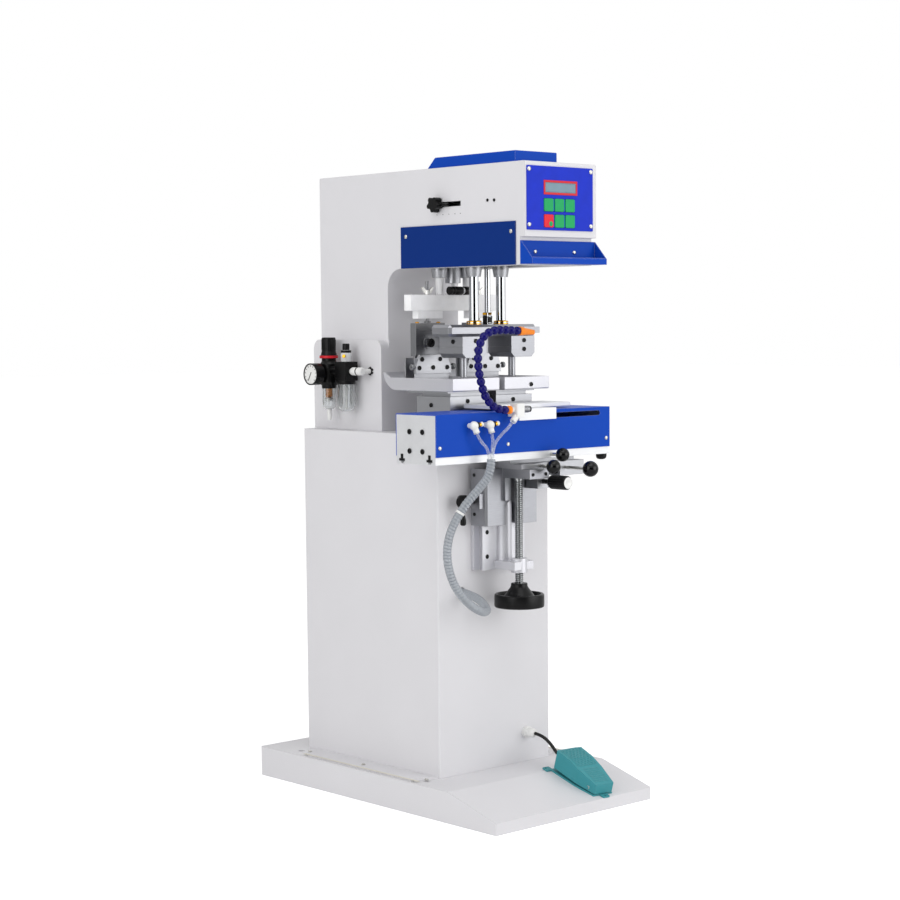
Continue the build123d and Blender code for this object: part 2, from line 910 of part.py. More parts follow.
# Tool tray: back wall, floor, low lip and two sloping ends
with BuildPart() as tool_tray:
    tray_back_y = head_nose_y
    tray_front_y = head_nose_y - tool_tray_depth
    tray_high_z = tool_tray_low_z + tool_tray_back_height
    tray_profile = [
        (tray_back_y, tool_tray_low_z),
        (tray_back_y, tray_high_z),
        (tray_back_y - cover_sheet, tray_high_z),
        (tray_front_y, tool_tray_low_z + tool_tray_lip),
        (tray_front_y, tool_tray_low_z),
    ]
    prism(Plane.YZ.offset(tray_left_x), tray_profile, tray_right_x - tray_left_x)
    block(
        inset((tray_left_x, tray_right_x), cover_sheet),
        (tray_front_y + cover_sheet, tray_back_y - cover_sheet),
        (tool_tray_low_z + cover_sheet, tray_high_z + cut_over),
        mode=Mode.SUBTRACT,
    )
write_piece(tool_tray, "tool_tray")

# Rods and cylinder that carry and drive the carriage along the head
slide_chamber_length = head_travel + slide_piston_length + 2 * slide_cylinder_cap
slide_cylinder_start = rear_block_y[1]
slide_cylinder_end = slide_cylinder_start + 2 * slide_cylinder_cap + slide_chamber_length
with BuildPart() as head_slide:
    for side in (-1, 1):
        rod_start_y = front_block_y[0]
        bar((side * guide_x, rod_start_y, guide_z), (0, 1, 0), rear_block_y[1] - rod_start_y, guide_radius)
    bar(
        (0, slide_cylinder_start, guide_z),
        (0, 1, 0),
        slide_cylinder_end - slide_cylinder_start,
        slide_cylinder_radius,
    )
    bar(
        (0, slide_cylinder_start + slide_cylinder_cap, guide_z),
        (0, 1, 0),
        slide_chamber_length,
        slide_cylinder_bore + running_gap,
        Mode.SUBTRACT,
    )
    bar(
        (0, slide_cylinder_start - cut_over, guide_z),
        (0, 1, 0),
        slide_cylinder_cap + 2 * cut_over,
        rod_clearance,
        Mode.SUBTRACT,
    )
write_piece(head_slide, "head_slide")

carriage_z = (guide_z - carriage_half_height, guide_z + carriage_half_height)
lift_cylinder_low = carriage_z[0] - lift_cylinder_height
with BuildPart() as carriage_block:
    block((-carriage_half_width, carriage_half_width), (carriage_front_y, carriage_rear_y), carriage_z)
    for side in (-1, 1):
        for row_y, shaft_radius in ((pad_row_y, pad_shaft_radius), (blade_row_y, blade_shaft_radius)):
            collar_profile = [
                (0, 0),
                (collar_radius, 0),
                (collar_radius, collar_length * 0.45),
                (collar_radius * 0.85, collar_length),
                (0, collar_length),
            ]
            turned((side * pad_shaft_x, row_y, carriage_z[0]), (0, 0, -1), collar_profile)
            bore_start = (side * pad_shaft_x, row_y, carriage_z[1] + cut_over)
            bore_length = 2 * carriage_half_height + collar_length + 2 * cut_over
            bar(bore_start, (0, 0, -1), bore_length, shaft_radius + running_gap, Mode.SUBTRACT)
        bar(
            (side * guide_x, carriage_front_y - cut_over, guide_z),
            (0, 1, 0),
            carriage_rear_y - carriage_front_y + 2 * cut_over,
            guide_radius + running_gap,
            Mode.SUBTRACT,
        )
    bar(
        (0, pad_row_y, carriage_z[1] + cut_over),
        (0, 0, -1),
        2 * (carriage_half_height + cut_over),
        pad_rod_radius + running_gap,
        Mode.SUBTRACT,
    )
    bar((0, blade_row_y, carriage_z[0]), (0, 0, -1), lift_cylinder_height, lift_cylinder_radius)
    lift_chamber = lift_cylinder_height - 2 * lift_cylinder_cap
    bar(
        (0, blade_row_y, lift_cylinder_low + lift_cylinder_cap),
        (0, 0, 1),
        lift_chamber,
        lift_cylinder_bore + running_gap,
        Mode.SUBTRACT,
    )
    bar(
        (0, blade_row_y, lift_cylinder_low - cut_over),
        (0, 0, 1),
        lift_cylinder_cap + 2 * cut_over,
        lift_rod_radius + running_gap,
        Mode.SUBTRACT,
    )
    slide_chamber_end = slide_cylinder_start + slide_cylinder_cap + slide_chamber_length
    slide_piston_end = slide_chamber_end - slide_cylinder_cap / 2
    slide_rod_length = slide_piston_end - slide_piston_length - carriage_rear_y
    bar((0, carriage_rear_y, guide_z), (0, 1, 0), slide_rod_length, slide_rod_radius)
    bar(
        (0, carriage_rear_y + slide_rod_length, guide_z),
        (0, 1, 0),
        slide_piston_length,
        slide_cylinder_bore,
    )
write_piece(carriage_block, "carriage_block")

pad_cylinder_x = (-pad_cylinder_width / 2, pad_cylinder_width / 2)
pad_cylinder_y = (pad_row_y - pad_cylinder_width / 2, pad_row_y + pad_cylinder_width / 2)
pad_cylinder_z = (carriage_z[1], carriage_z[1] + pad_cylinder_height)
with BuildPart() as pad_cylinder:
    block(pad_cylinder_x, pad_cylinder_y, pad_cylinder_z)
    fillet(pad_cylinder.edges().filter_by(Axis.Z), radius=pad_cylinder_cap / 2)
    chamber_start = (0, pad_row_y, pad_cylinder_z[0] + pad_cylinder_cap)
    bar(
        chamber_start,
        (0, 0, 1),
        pad_cylinder_height - 2 * pad_cylinder_cap,
        pad_cylinder_bore + running_gap,
        Mode.SUBTRACT,
    )
    bar(
        (0, pad_row_y, pad_cylinder_z[0] - cut_over),
        (0, 0, 1),
        pad_cylinder_cap + 2 * cut_over,
        pad_rod_radius + running_gap,
        Mode.SUBTRACT,
    )
write_piece(pad_cylinder, "pad_cylinder")

# Stop knob that sets the end of the head stroke, clamped in the slot of the left side
with BuildPart() as stop_knob:
    outside_x = -half_head - moving_gap
    inside_x = head_wall + moving_gap - half_head
    stud_start = (inside_x + head_wall, stop_knob_y, stop_knob_z)
    stop_stud_radius = stop_slot_height / 2 - moving_gap
    bar(stud_start, (-1, 0, 0), head_wall * 3, stop_stud_radius)
    nut_half = stop_slot_height * 0.9
    block(
        (inside_x, inside_x + head_wall),
        (stop_knob_y - nut_half, stop_knob_y + nut_half),
        (stop_knob_z - nut_half, stop_knob_z + nut_half),
    )
    bar((outside_x, stop_knob_y, stop_knob_z), (-1, 0, 0), head_wall, stop_slot_height)
    star_plane = Plane(origin=(outside_x - head_wall, stop_knob_y, stop_knob_z), z_dir=(-1, 0, 0))
    with BuildSketch(star_plane):
        Circle(stop_slot_height * 1.15)
        with PolarLocations(stop_slot_height * 1.1, 5):
            Circle(stop_slot_height * 0.5)
    extrude(amount=stop_slot_height * 1.6)
write_piece(stop_knob, "stop_knob")

# Pad unit: shafts, beam and the two pad holders with their posts
beam_top = beam_low_z + beam_height
with BuildPart() as pad_shafts:
    nut_profile = [
        (0, 0),
        (shaft_nut_radius, 0),
        (shaft_nut_radius, shaft_nut_height * 0.7),
        (shaft_nut_radius * 0.9, shaft_nut_height),
        (0, shaft_nut_height),
    ]
    for side in (-1, 1):
        bar((side * pad_shaft_x, pad_row_y, beam_top), (0, 0, 1), pad_shaft_length, pad_shaft_radius)
        turned((side * pad_shaft_x, pad_row_y, beam_top), (0, 0, 1), nut_profile)
    pad_piston_low = pad_cylinder_z[0] + pad_cylinder_cap + moving_gap
    bar((0, pad_row_y, beam_top), (0, 0, 1), pad_piston_low - beam_top, pad_rod_radius)
    bar((0, pad_row_y, pad_piston_low), (0, 0, 1), pad_piston_length, pad_cylinder_bore)
    clevis_half = clevis_width / 2
    block(
        (-clevis_half, clevis_half),
        (pad_row_y - clevis_half, pad_row_y + clevis_half),
        (beam_top, beam_top + clevis_height),
    )
write_piece(pad_shafts, "pad_shafts")

with BuildPart() as pad_beam:
    beam_x = (-beam_half_width, beam_half_width)
    block(beam_x, (beam_front_y, beam_rear_y), (beam_low_z, beam_top))
    chamfer(pad_beam.edges(), length=beam_chamfer)
    tab_front_y = beam_front_y + beam_chamfer
    tab_x = (beam_half_width - beam_chamfer, beam_half_width + beam_tab_length)
    tab_z = inset((beam_low_z, beam_top), beam_chamfer)
    block(tab_x, (tab_front_y, tab_front_y + beam_tab_width), tab_z)
write_piece(pad_beam, "pad_beam")

holder_low_z = beam_low_z - 2 * holder_layer
with BuildPart() as pad_holders:
    for side in (-1, 1):
        left_x = side * holder_x - holder_width / 2
        right_x = side * holder_x + holder_width / 2
        layer_z = holder_low_z + holder_layer
        holder_outline = [
            (left_x + holder_chamfer, holder_low_z),
            (right_x - holder_chamfer, holder_low_z),
            (right_x, holder_low_z + holder_chamfer),
            (right_x, layer_z - holder_groove),
            (right_x - holder_groove, layer_z - holder_groove),
            (right_x - holder_groove, layer_z + holder_groove),
            (right_x, layer_z + holder_groove),
            (right_x, beam_low_z),
            (left_x, beam_low_z),
            (left_x, layer_z + holder_groove),
            (left_x + holder_groove, layer_z + holder_groove),
            (left_x + holder_groove, layer_z - holder_groove),
            (left_x, layer_z - holder_groove),
            (left_x, holder_low_z + holder_chamfer),
        ]
        prism(Plane.XZ.offset(-holder_rear_y), holder_outline, holder_rear_y - holder_front_y)
        bar((side * holder_x, pad_row_y, holder_low_z), (0, 0, -1), post_length, post_radius)
write_piece(pad_holders, "pad_holders")

# Crossbar that lifts both blade units, on its two rear shafts and short lift rod
crossbar_top = crossbar_low_z + crossbar_height
crossbar_y = (blade_row_y - crossbar_depth / 2, blade_row_y + crossbar_depth / 2)
crossbar_pad_y = (blade_row_y - crossbar_pad_depth / 2, blade_row_y + crossbar_pad_depth / 2)
with BuildPart() as crossbar:
    block((-crossbar_half_width, crossbar_half_width), crossbar_y, (crossbar_low_z, crossbar_top))
    chamfer(crossbar.edges().filter_by(Axis.Y), length=edge_break)
    for side in (-1, 1):
        pad_middle = side * blade_pitch / 2
        pad_x = (pad_middle - crossbar_pad_half_width, pad_middle + crossbar_pad_half_width)
        block(pad_x, crossbar_pad_y, (crossbar_low_z - crossbar_pad_drop, crossbar_low_z))
        stud_hole = (pad_middle, blade_row_y, crossbar_top + cut_over)
        stud_depth = crossbar_height + crossbar_pad_drop + 2 * cut_over
        bar(stud_hole, (0, 0, -1), stud_depth, stud_radius + running_gap, Mode.SUBTRACT)
        shaft_top = carriage_z[1] + blade_shaft_radius
        bar(
            (side * pad_shaft_x, blade_row_y, crossbar_top),
            (0, 0, 1),
            shaft_top - crossbar_top,
            blade_shaft_radius,
        )
    lift_piston_low = lift_cylinder_low + lift_cylinder_cap + moving_gap
    bar((0, blade_row_y, crossbar_top), (0, 0, 1), lift_piston_low - crossbar_top, lift_rod_radius)
    bar((0, blade_row_y, lift_piston_low), (0, 0, 1), lift_piston_length, lift_cylinder_bore)
    lift_knob_z = crossbar_top + lift_knob_radius
    block(
        (-lift_knob_radius, lift_knob_radius),
        (lift_knob_y, blade_row_y - lift_rod_radius - moving_gap),
        (crossbar_top, lift_knob_z),
    )
    lift_knob_waist = lift_knob_length * 0.66
    lift_knob_profile = [
        (0, 0),
        (lift_knob_radius - edge_break, 0),
        (lift_knob_radius, edge_break),
        (lift_knob_radius, lift_knob_waist),
        (lift_knob_radius * 0.85, lift_knob_waist),
        (lift_knob_radius * 0.85, lift_knob_waist + lift_knob_ring),
        (lift_knob_radius * 0.95, lift_knob_waist + lift_knob_ring),
        (lift_knob_radius * 0.95, lift_knob_length),
        (0, lift_knob_length),
    ]
    turned((lift_knob_left_x, lift_knob_y, lift_knob_z), (1, 0, 0), lift_knob_profile)
write_piece(crossbar, "crossbar")

# Blade units: a bracket hung on its stud, a levelling blade holder and a wing nut on each side
bracket_front_y = blade_row_y - bracket_thickness / 2
bracket_rear_y = blade_row_y + bracket_thickness / 2
bracket_top = bracket_low_z + bracket_height
stud_length = crossbar_top - bracket_top + wing_height + blade_height_down + stud_spare
tongue_y = (bracket_rear_y + moving_gap, bracket_rear_y + moving_gap + tongue_thickness)
web_top = bracket_low_z - web_drop
for side, side_name in ((-1, "left"), (1, "right")):
    unit_x = side * blade_pitch / 2
    pivot_x = unit_x + pivot_offset_x
    with BuildPart() as blade_bracket:
        bracket_x = (unit_x - bracket_half_width, unit_x + bracket_half_width)
        block(bracket_x, (bracket_front_y, bracket_rear_y), (bracket_low_z, bracket_top))
        bar((unit_x, blade_row_y, bracket_top), (0, 0, 1), stud_length, stud_radius)
        spacer_profile = [
            (0, 0),
            (stud_radius * 2, 0),
            (stud_radius * 2, spacer_height * 0.8),
            (stud_radius * 1.4, spacer_height),
            (0, spacer_height),
        ]
        turned((unit_x, blade_row_y, bracket_top), (0, 0, 1), spacer_profile)
        washer_y = bracket_front_y - pivot_washer_height
        bar((pivot_x, bracket_front_y, pivot_z), (0, -1, 0), pivot_washer_height, pivot_washer_radius)
        with BuildSketch(Plane(origin=(pivot_x, washer_y, pivot_z), z_dir=(0, -1, 0))):
            RegularPolygon(pivot_head_radius, 6)
        extrude(amount=pivot_head_height)
        pivot_nut_y = tongue_y[1] + moving_gap
        bar((pivot_x, bracket_rear_y, pivot_z), (0, 1, 0), pivot_nut_y - bracket_rear_y, pivot_radius)
        with BuildSketch(Plane(origin=(pivot_x, pivot_nut_y, pivot_z), z_dir=(0, 1, 0))):
            RegularPolygon(pivot_head_radius, 6)
        extrude(amount=pivot_head_height)
    write_piece(blade_bracket, f"blade_bracket_{side_name}")

    with BuildPart() as blade_holder:
        plate_rear_y = blade_plate_front_y + blade_plate_thickness
        plate_high_z = blade_plate_low_z + blade_plate_height
        half_low = blade_plate_width / 2
        half_high = blade_plate_top_width / 2
        plate_outline = [
            (unit_x - half_low, blade_plate_low_z),
            (unit_x + half_low, blade_plate_low_z),
            (unit_x + half_low, blade_plate_low_z + blade_corner),
            (unit_x + half_high, plate_high_z),
            (unit_x - half_high, plate_high_z),
            (unit_x - half_low, blade_plate_low_z + blade_corner),
        ]
        prism(Plane.XZ.offset(-plate_rear_y), plate_outline, blade_plate_thickness)
        blade_x = inset((unit_x - half_low, unit_x + half_low), blade_thickness)
        blade_y = (plate_rear_y, plate_rear_y + blade_thickness)
        block(blade_x, blade_y, (blade_plate_low_z - blade_reach, web_top))
        web_x = (pivot_x - tongue_half_width, pivot_x + tongue_half_width)
        web_low = web_top - blade_corner
        block(web_x, (blade_y[1], tongue_y[1]), (web_low, web_top))
        tongue_top = pivot_z + tongue_half_width * 0.9
        block(web_x, tongue_y, (web_low, tongue_top))
        tongue_corners = blade_holder.edges().filter_by(Axis.Y).group_by(Axis.Z)[-1]
        fillet(tongue_corners, radius=tongue_half_width * 0.7)
        flood_y = (tongue_y[1], tongue_y[1] + flood_bar_thickness)
        block(blade_x, flood_y, (blade_plate_low_z - blade_reach * 0.7, web_top))
        bar(
            (pivot_x, tongue_y[0] - cut_over, pivot_z),
            (0, 1, 0),
            tongue_thickness + 2 * cut_over,
            pivot_radius + running_gap,
            Mode.SUBTRACT,
        )
    write_piece(blade_holder, f"blade_holder_{side_name}")

    with BuildPart() as wing_nut:
        nut_seat_z = crossbar_top + moving_gap
        turned(
            (unit_x, blade_row_y, nut_seat_z),
            (0, 0, 1),
            [
                (0, 0),
                (wing_nut_radius, 0),
                (wing_nut_radius * 0.7, wing_nut_height),
                (0, wing_nut_height),
            ],
        )
        for wing in (-1, 1):
            wing_outline = [
                (unit_x, nut_seat_z + wing_nut_height * 0.2),
                (unit_x + wing * wing_span * 0.3, nut_seat_z + wing_nut_height * 0.4),
                (unit_x + wing * wing_span * 0.5, nut_seat_z + wing_height),
                (unit_x + wing * wing_span * 0.36, nut_seat_z + wing_height * 1.1),
                (unit_x + wing * wing_nut_radius * 0.6, nut_seat_z + wing_nut_height),
                (unit_x, nut_seat_z + wing_nut_height),
            ]
            prism(
                Plane.XZ.offset(wing_thickness / 2 - blade_row_y - wing_thickness),
                wing_outline,
                wing_thickness,
            )
        bar(
            (unit_x, blade_row_y, nut_seat_z - cut_over),
            (0, 0, 1),
            wing_height + 2 * cut_over,
            stud_radius + running_gap,
            Mode.SUBTRACT,
        )
    write_piece(wing_nut, f"wing_nut_{side_name}")

# Ink trays: shallow troughs whose rear wall curls up
with BuildPart() as ink_trays:
    for side in (-1, 1):
        tray_middle = side * ink_pitch / 2
        rim_z = ink_tray_low_z + ink_tray_height
        curl_top = rim_z + ink_tray_curl_rise
        for wall, mode in ((0, Mode.ADD), (ink_tray_wall, Mode.SUBTRACT)):
            floor_z = ink_tray_low_z + wall
            top_z = curl_top + (cut_over if wall else 0)
            tip_y = ink_tray_rear_y - wall
            curl_middle = (
                ink_tray_curl_y + (tip_y - ink_tray_curl_y) * 0.72, floor_z + (curl_top - floor_z) * 0.36
            )
            with BuildSketch(Plane.YZ.offset(tray_middle - ink_tray_width / 2 + wall)):
                with BuildLine():
                    Line((ink_tray_front_y + wall, floor_z), (ink_tray_curl_y, floor_z))
                    ThreePointArc((ink_tray_curl_y, floor_z), curl_middle, (tip_y, curl_top))
                    if wall:
                        Polyline(
                            (tip_y, curl_top),
                            (tip_y, top_z),
                            (ink_tray_front_y + wall, top_z),
                            (ink_tray_front_y + wall, floor_z),
                        )
                    else:
                        Polyline(
                            (tip_y, curl_top),
                            (tip_y - ink_tray_lip, curl_top),
                            (tip_y - ink_tray_lip * 4, rim_z),
                            (ink_tray_front_y, rim_z),
                            (ink_tray_front_y, floor_z),
                        )
                make_face()
            extrude(amount=ink_tray_width - 2 * wall, mode=mode)
            if not wall:
                floor_edges = ink_trays.faces().sort_by_distance(
                    (tray_middle, (ink_tray_front_y + ink_tray_curl_y) / 2, floor_z)
                )[0].edges()
                fillet(
                    floor_edges.filter_by(Axis.Y) + floor_edges.sort_by(Axis.Y)[:1], radius=ink_tray_edge
                )
write_piece(ink_trays, "ink_trays")

with BuildPart() as tray_support:
    support_y = (support_front_y, support_rear_y)
    platform_z = (pillar_top, pillar_top + support_height)
    block((-support_half_width, support_half_width), support_y, platform_z)
    chamfer(tray_support.faces().sort_by(Axis.Z)[-1].edges(), length=support_step / 2)
    for side in (-1, 1):
        outer = side * (support_half_width - support_step)
        inner = side * support_block_gap / 2
        block_x = sorted((outer, inner))
        block_y = inset(support_y, support_step)
        block(block_x, block_y, (platform_z[1], support_block_top))
        plate_low_z = ink_tray_low_z - support_plate_height
        block(
            inset(block_x, support_pad_inset),
            inset(block_y, support_pad_inset),
            (support_block_top, plate_low_z),
        )
        plate_x = sorted((outer + side * support_plate_over, inner))
        plate_y = (block_y[0], block_y[1] + 3 * support_plate_over)
        block(plate_x, plate_y, (plate_low_z, ink_tray_low_z))
write_piece(tray_support, "tray_support")

# Knee: dovetail rail with its round rib and the arm that holds the screw nut
rail_face_y = pillar_front_y - rail_plate - rail_depth
rail_back_y = pillar_front_y - rail_plate
arm_low_z = rail_low_z + bracket_arm_offset
arm_high_z = arm_low_z + bracket_arm_height
with BuildPart() as knee_rail:
    block((-rail_half_width, rail_half_width), (rail_back_y, pillar_front_y), (rail_low_z, rail_high_z))
    dovetail = [
        (-rail_neck_half_width, rail_back_y + rail_plate / 2),
        (-rail_neck_half_width, rail_back_y),
        (-rail_face_half_width, rail_face_y),
        (rail_face_half_width, rail_face_y),
        (rail_neck_half_width, rail_back_y),
        (rail_neck_half_width, rail_back_y + rail_plate / 2),
    ]
    prism(Plane.XY.offset(rail_low_z), dovetail, rail_high_z - rail_low_z)
    bar(
        (0, rail_face_y, arm_high_z - bracket_arm_height / 2),
        (0, 0, 1),
        rail_high_z - arm_high_z + bracket_arm_height / 2,
        rail_column_radius,
    )
    arm_x = (-bracket_arm_half_width, bracket_arm_half_width)
    block(arm_x, (bracket_arm_front_y, rail_face_y + rail_plate), (arm_low_z, arm_high_z))
    nut_height = bracket_arm_height + 2 * screw_nut_over
    bar((0, screw_y, arm_low_z - screw_nut_over), (0, 0, 1), nut_height, screw_nut_radius)
    bar(
        (0, screw_y, arm_low_z - screw_nut_over - cut_over),
        (0, 0, 1),
        nut_height + 2 * cut_over,
        screw_radius + running_gap,
        Mode.SUBTRACT,
    )
write_piece(knee_rail, "knee_rail")

# Knee carriage: slides on the dovetail and carries the arm under the cross slide
knee_arm_low = knee_top_z - knee_arm_height
with BuildPart() as knee_carriage:
    carriage_back_y = rail_back_y - moving_gap
    block((-knee_half_width, knee_half_width), (knee_front_y, carriage_back_y), (knee_low_z, knee_top_z))
    chamfer(knee_carriage.edges().filter_by(Axis.Z).group_by(Axis.Y)[0], length=rail_plate / 2)
    block(arm_x, (knee_arm_front_y, knee_front_y), (knee_arm_low, knee_top_z))
    gusset_low = knee_low_z + knee_window_height
    block(arm_x, (knee_front_y - knee_gusset_depth, knee_front_y), (gusset_low, knee_arm_low))
    clamp_x = (-knee_half_width - clamp_block_width, -knee_half_width)
    clamp_z = (lever_z - clamp_block_half_height, lever_z + clamp_block_half_height)
    block(clamp_x, (clamp_block_front_y, clamp_block_rear_y), clamp_z)
    gap = moving_gap
    channel = [
        (-rail_neck_half_width - gap, rail_back_y + cut_over),
        (-rail_neck_half_width - gap, rail_back_y - gap),
        (-rail_face_half_width - gap, rail_face_y - gap),
        (rail_face_half_width + gap, rail_face_y - gap),
        (rail_neck_half_width + gap, rail_back_y - gap),
        (rail_neck_half_width + gap, rail_back_y + cut_over),
    ]
    channel_height = knee_top_z - knee_low_z + 2 * cut_over
    prism(Plane.XY.offset(knee_low_z - cut_over), channel, channel_height, Mode.SUBTRACT)
    bar(
        (0, rail_face_y, knee_low_z - cut_over),
        (0, 0, 1),
        channel_height,
        rail_column_radius + gap,
        Mode.SUBTRACT,
    )
    with BuildSketch(Plane.XZ.offset(-rail_face_y)):
        with BuildLine():
            Polyline(
                (knee_window_half_width, gusset_low - knee_window_half_width),
                (knee_window_half_width, knee_low_z - cut_over),
                (-knee_window_half_width, knee_low_z - cut_over),
                (-knee_window_half_width, gusset_low - knee_window_half_width),
            )
            ThreePointArc(
                (-knee_window_half_width, gusset_low - knee_window_half_width),
                (0, gusset_low),
                (knee_window_half_width, gusset_low - knee_window_half_width),
            )
        make_face()
    extrude(amount=rail_face_y - knee_front_y + cut_over, mode=Mode.SUBTRACT)
    bar(
        (0, screw_y, knee_arm_low - cut_over),
        (0, 0, 1),
        screw_journal_length + cut_over + gap,
        screw_journal_radius + running_gap,
        Mode.SUBTRACT,
    )
    stem_bore = lever_stem_radius + running_gap
    bar(
        (clamp_x[0] - cut_over, lever_y, lever_z),
        (1, 0, 0),
        clamp_block_width + cut_over,
        stem_bore,
        Mode.SUBTRACT,
    )
write_piece(knee_carriage, "knee_carriage")

nut_low_z = arm_low_z - screw_nut_over
wheel_hub_top = nut_low_z - knee_up - wheel_hub_gap
wheel_low_z = wheel_hub_top - wheel_hub_height
screw_low_z = wheel_low_z + screw_end_rise
with BuildPart() as lead_screw:
    collar_top = knee_arm_low - moving_gap
    collar_low = collar_top - screw_collar_height
    bar((0, screw_y, screw_low_z), (0, 0, 1), collar_low - screw_low_z, screw_radius)
    bar((0, screw_y, collar_low), (0, 0, 1), screw_collar_height, screw_collar_radius)
    bar((0, screw_y, collar_top), (0, 0, 1), screw_journal_length, screw_journal_radius)
write_piece(lead_screw, "lead_screw")

with BuildPart() as handwheel:
    wheel_top = wheel_low_z + wheel_rim_height
    rim_inner = wheel_radius - wheel_rim_thickness
    web_low_z = wheel_low_z + wheel_rim_height * 0.3
    wheel_profile = [
        (screw_radius, wheel_low_z - wheel_boss_drop),
        (wheel_hub_radius * 0.7, wheel_low_z - wheel_boss_drop),
        (wheel_hub_radius, web_low_z),
        (rim_inner, web_low_z),
        (rim_inner, wheel_low_z + wheel_rim_thickness * 0.3),
        (wheel_radius - wheel_rim_thickness * 0.3, wheel_low_z),
        (wheel_radius, wheel_low_z + wheel_rim_thickness * 0.5),
        (wheel_radius, wheel_top - wheel_rim_thickness * 0.5),
        (wheel_radius - wheel_rim_thickness * 0.3, wheel_top),
        (rim_inner, wheel_top - wheel_rim_thickness * 0.2),
        (rim_inner, web_low_z + wheel_web_thickness),
        (wheel_hub_radius * 1.5, web_low_z + wheel_web_thickness * 1.6),
        (wheel_hub_radius, wheel_hub_top - wheel_web_thickness * 1.2),
        (wheel_hub_radius, wheel_hub_top),
        (screw_radius, wheel_hub_top),
    ]
    turned((0, screw_y, 0), (0, 0, 1), wheel_profile)
    hollow_reach = wheel_radius + lobe_hollow_radius - lobe_depth
    with BuildSketch(Plane.XY.offset(wheel_low_z - cut_over)):
        with Locations((0, screw_y)):
            with PolarLocations(hollow_reach, wheel_lobes):
                Circle(lobe_hollow_radius)
    extrude(amount=wheel_rim_height + 2 * cut_over, mode=Mode.SUBTRACT)
write_piece(handwheel, "handwheel")

# Clamp lever of the knee, hanging from its hub on the left side
with BuildPart() as clamp_lever:
    lever_start = (clamp_x[0] + clamp_block_width / 2, lever_y, lever_z)
    bar(lever_start, (-1, 0, 0), clamp_block_width / 2 + lever_stem_length, lever_stem_radius)
    hub_x = clamp_x[0] - lever_stem_length
    hub_profile = [
        (0, 0),
        (lever_hub_radius * 0.7, 0),
        (lever_hub_radius, lever_hub_length * 0.25),
        (lever_hub_radius, lever_hub_length * 0.75),
        (lever_hub_radius * 0.6, lever_hub_length),
        (0, lever_hub_length),
    ]
    turned((hub_x, lever_y, lever_z), (-1, 0, 0), hub_profile)
    arm_top = (hub_x - lever_hub_length / 2, lever_y, lever_z)
    arm_profile = [
        (0, 0),
        (lever_arm_radius * 0.75, 0),
        (lever_arm_radius * 0.6, lever_arm_length * 0.55),
        (lever_arm_radius, lever_arm_length * 0.75),
        (lever_arm_radius, lever_arm_length * 0.95),
        (lever_arm_radius * 0.6, lever_arm_length),
        (0, lever_arm_length),
    ]
    turned(arm_top, (0, 0, -1), arm_profile)
write_piece(clamp_lever, "clamp_lever")

# Cross slide: a plate with a right-hand bar, its rail under the bed and its screw hanger
stage_low_z = knee_top_z + moving_gap
stage_high_z = stage_low_z + stage_thickness
bed_floor_top = bed_low_z + bed_floor_height
channel_top = bed_floor_top - bed_floor
rail_y = (bed_middle_y - stage_rail_half_width, bed_middle_y + stage_rail_half_width)
with BuildPart() as cross_slide:
    stage_outline = [
        (stage_left_x, stage_front_y),
        (-stage_left_x, stage_front_y),
        (-stage_left_x, stage_bar_front_y),
        (stage_right_x, stage_bar_front_y),
        (stage_right_x, stage_bar_rear_y),
        (-stage_left_x, stage_bar_rear_y),
        (-stage_left_x, stage_rear_y),
        (stage_left_x, stage_rear_y),
    ]
    prism(Plane.XY.offset(stage_low_z), stage_outline, stage_thickness)
    block((stage_rail_left_x, stage_rail_right_x), rail_y, (stage_high_z, channel_top - moving_gap))
    hanger_x = (stage_hanger_left_x, stage_hanger_right_x)
    block(hanger_x, (stage_bar_front_y, stage_hanger_rear_y), (stage_hanger_low_z, stage_low_z))
    side_lug_x = (side_ball_x - ball_radius, stage_right_x)
    block(
        side_lug_x, (stage_bar_front_y, stage_bar_rear_y), (stage_low_z - 2 * stage_thickness, stage_low_z)
    )
    hanger_depth = stage_hanger_rear_y - stage_bar_front_y
    knob_bore = (adjust_knob_x, stage_bar_front_y - cut_over, adjust_knob_z)
    bar(knob_bore, (0, 1, 0), hanger_depth / 2 + cut_over, adjust_neck_radius + running_gap, Mode.SUBTRACT)
    ball_axis_z = stage_low_z + stage_thickness / 2
    stem_hole = ball_stem_radius + running_gap
    stage_hole = (stage_ball_x, stage_front_y - cut_over, ball_axis_z)
    bar(stage_hole, (0, 1, 0), ball_radius + cut_over, stem_hole, Mode.SUBTRACT)
    side_ball_z = stage_low_z - ball_radius / 4
    side_hole = (side_ball_x, stage_bar_front_y - cut_over, side_ball_z)
    bar(side_hole, (0, 1, 0), ball_radius + cut_over, stem_hole, Mode.SUBTRACT)
write_piece(cross_slide, "cross_slide")

with BuildPart() as adjust_knob:
    neck_start = (adjust_knob_x, stage_bar_front_y + hanger_depth / 4, adjust_knob_z)
    bar(neck_start, (0, -1, 0), hanger_depth / 4 + adjust_neck_length, adjust_neck_radius)
    knob_start = (adjust_knob_x, stage_bar_front_y - adjust_neck_length, adjust_knob_z)
    knob_profile = [
        (0, 0),
        (adjust_knob_radius * 0.8, 0),
        (adjust_knob_radius, adjust_knob_length * 0.1),
        (adjust_knob_radius, adjust_knob_length * 0.95),
        (adjust_knob_radius * 0.85, adjust_knob_length),
        (0, adjust_knob_length),
    ]
    turned(knob_start, (0, -1, 0), knob_profile)
write_piece(adjust_knob, "adjust_knob")


def ball_knob(x, front_y, z, hold, stem_length):
    """A ball on a straight stem that points at the operator, screwed in behind front_y."""
    bar((x, front_y + hold, z), (0, -1, 0), hold + stem_length, ball_stem_radius)
    with Locations((x, front_y - stem_length - ball_radius * 0.8, z)):
        Sphere(ball_radius)


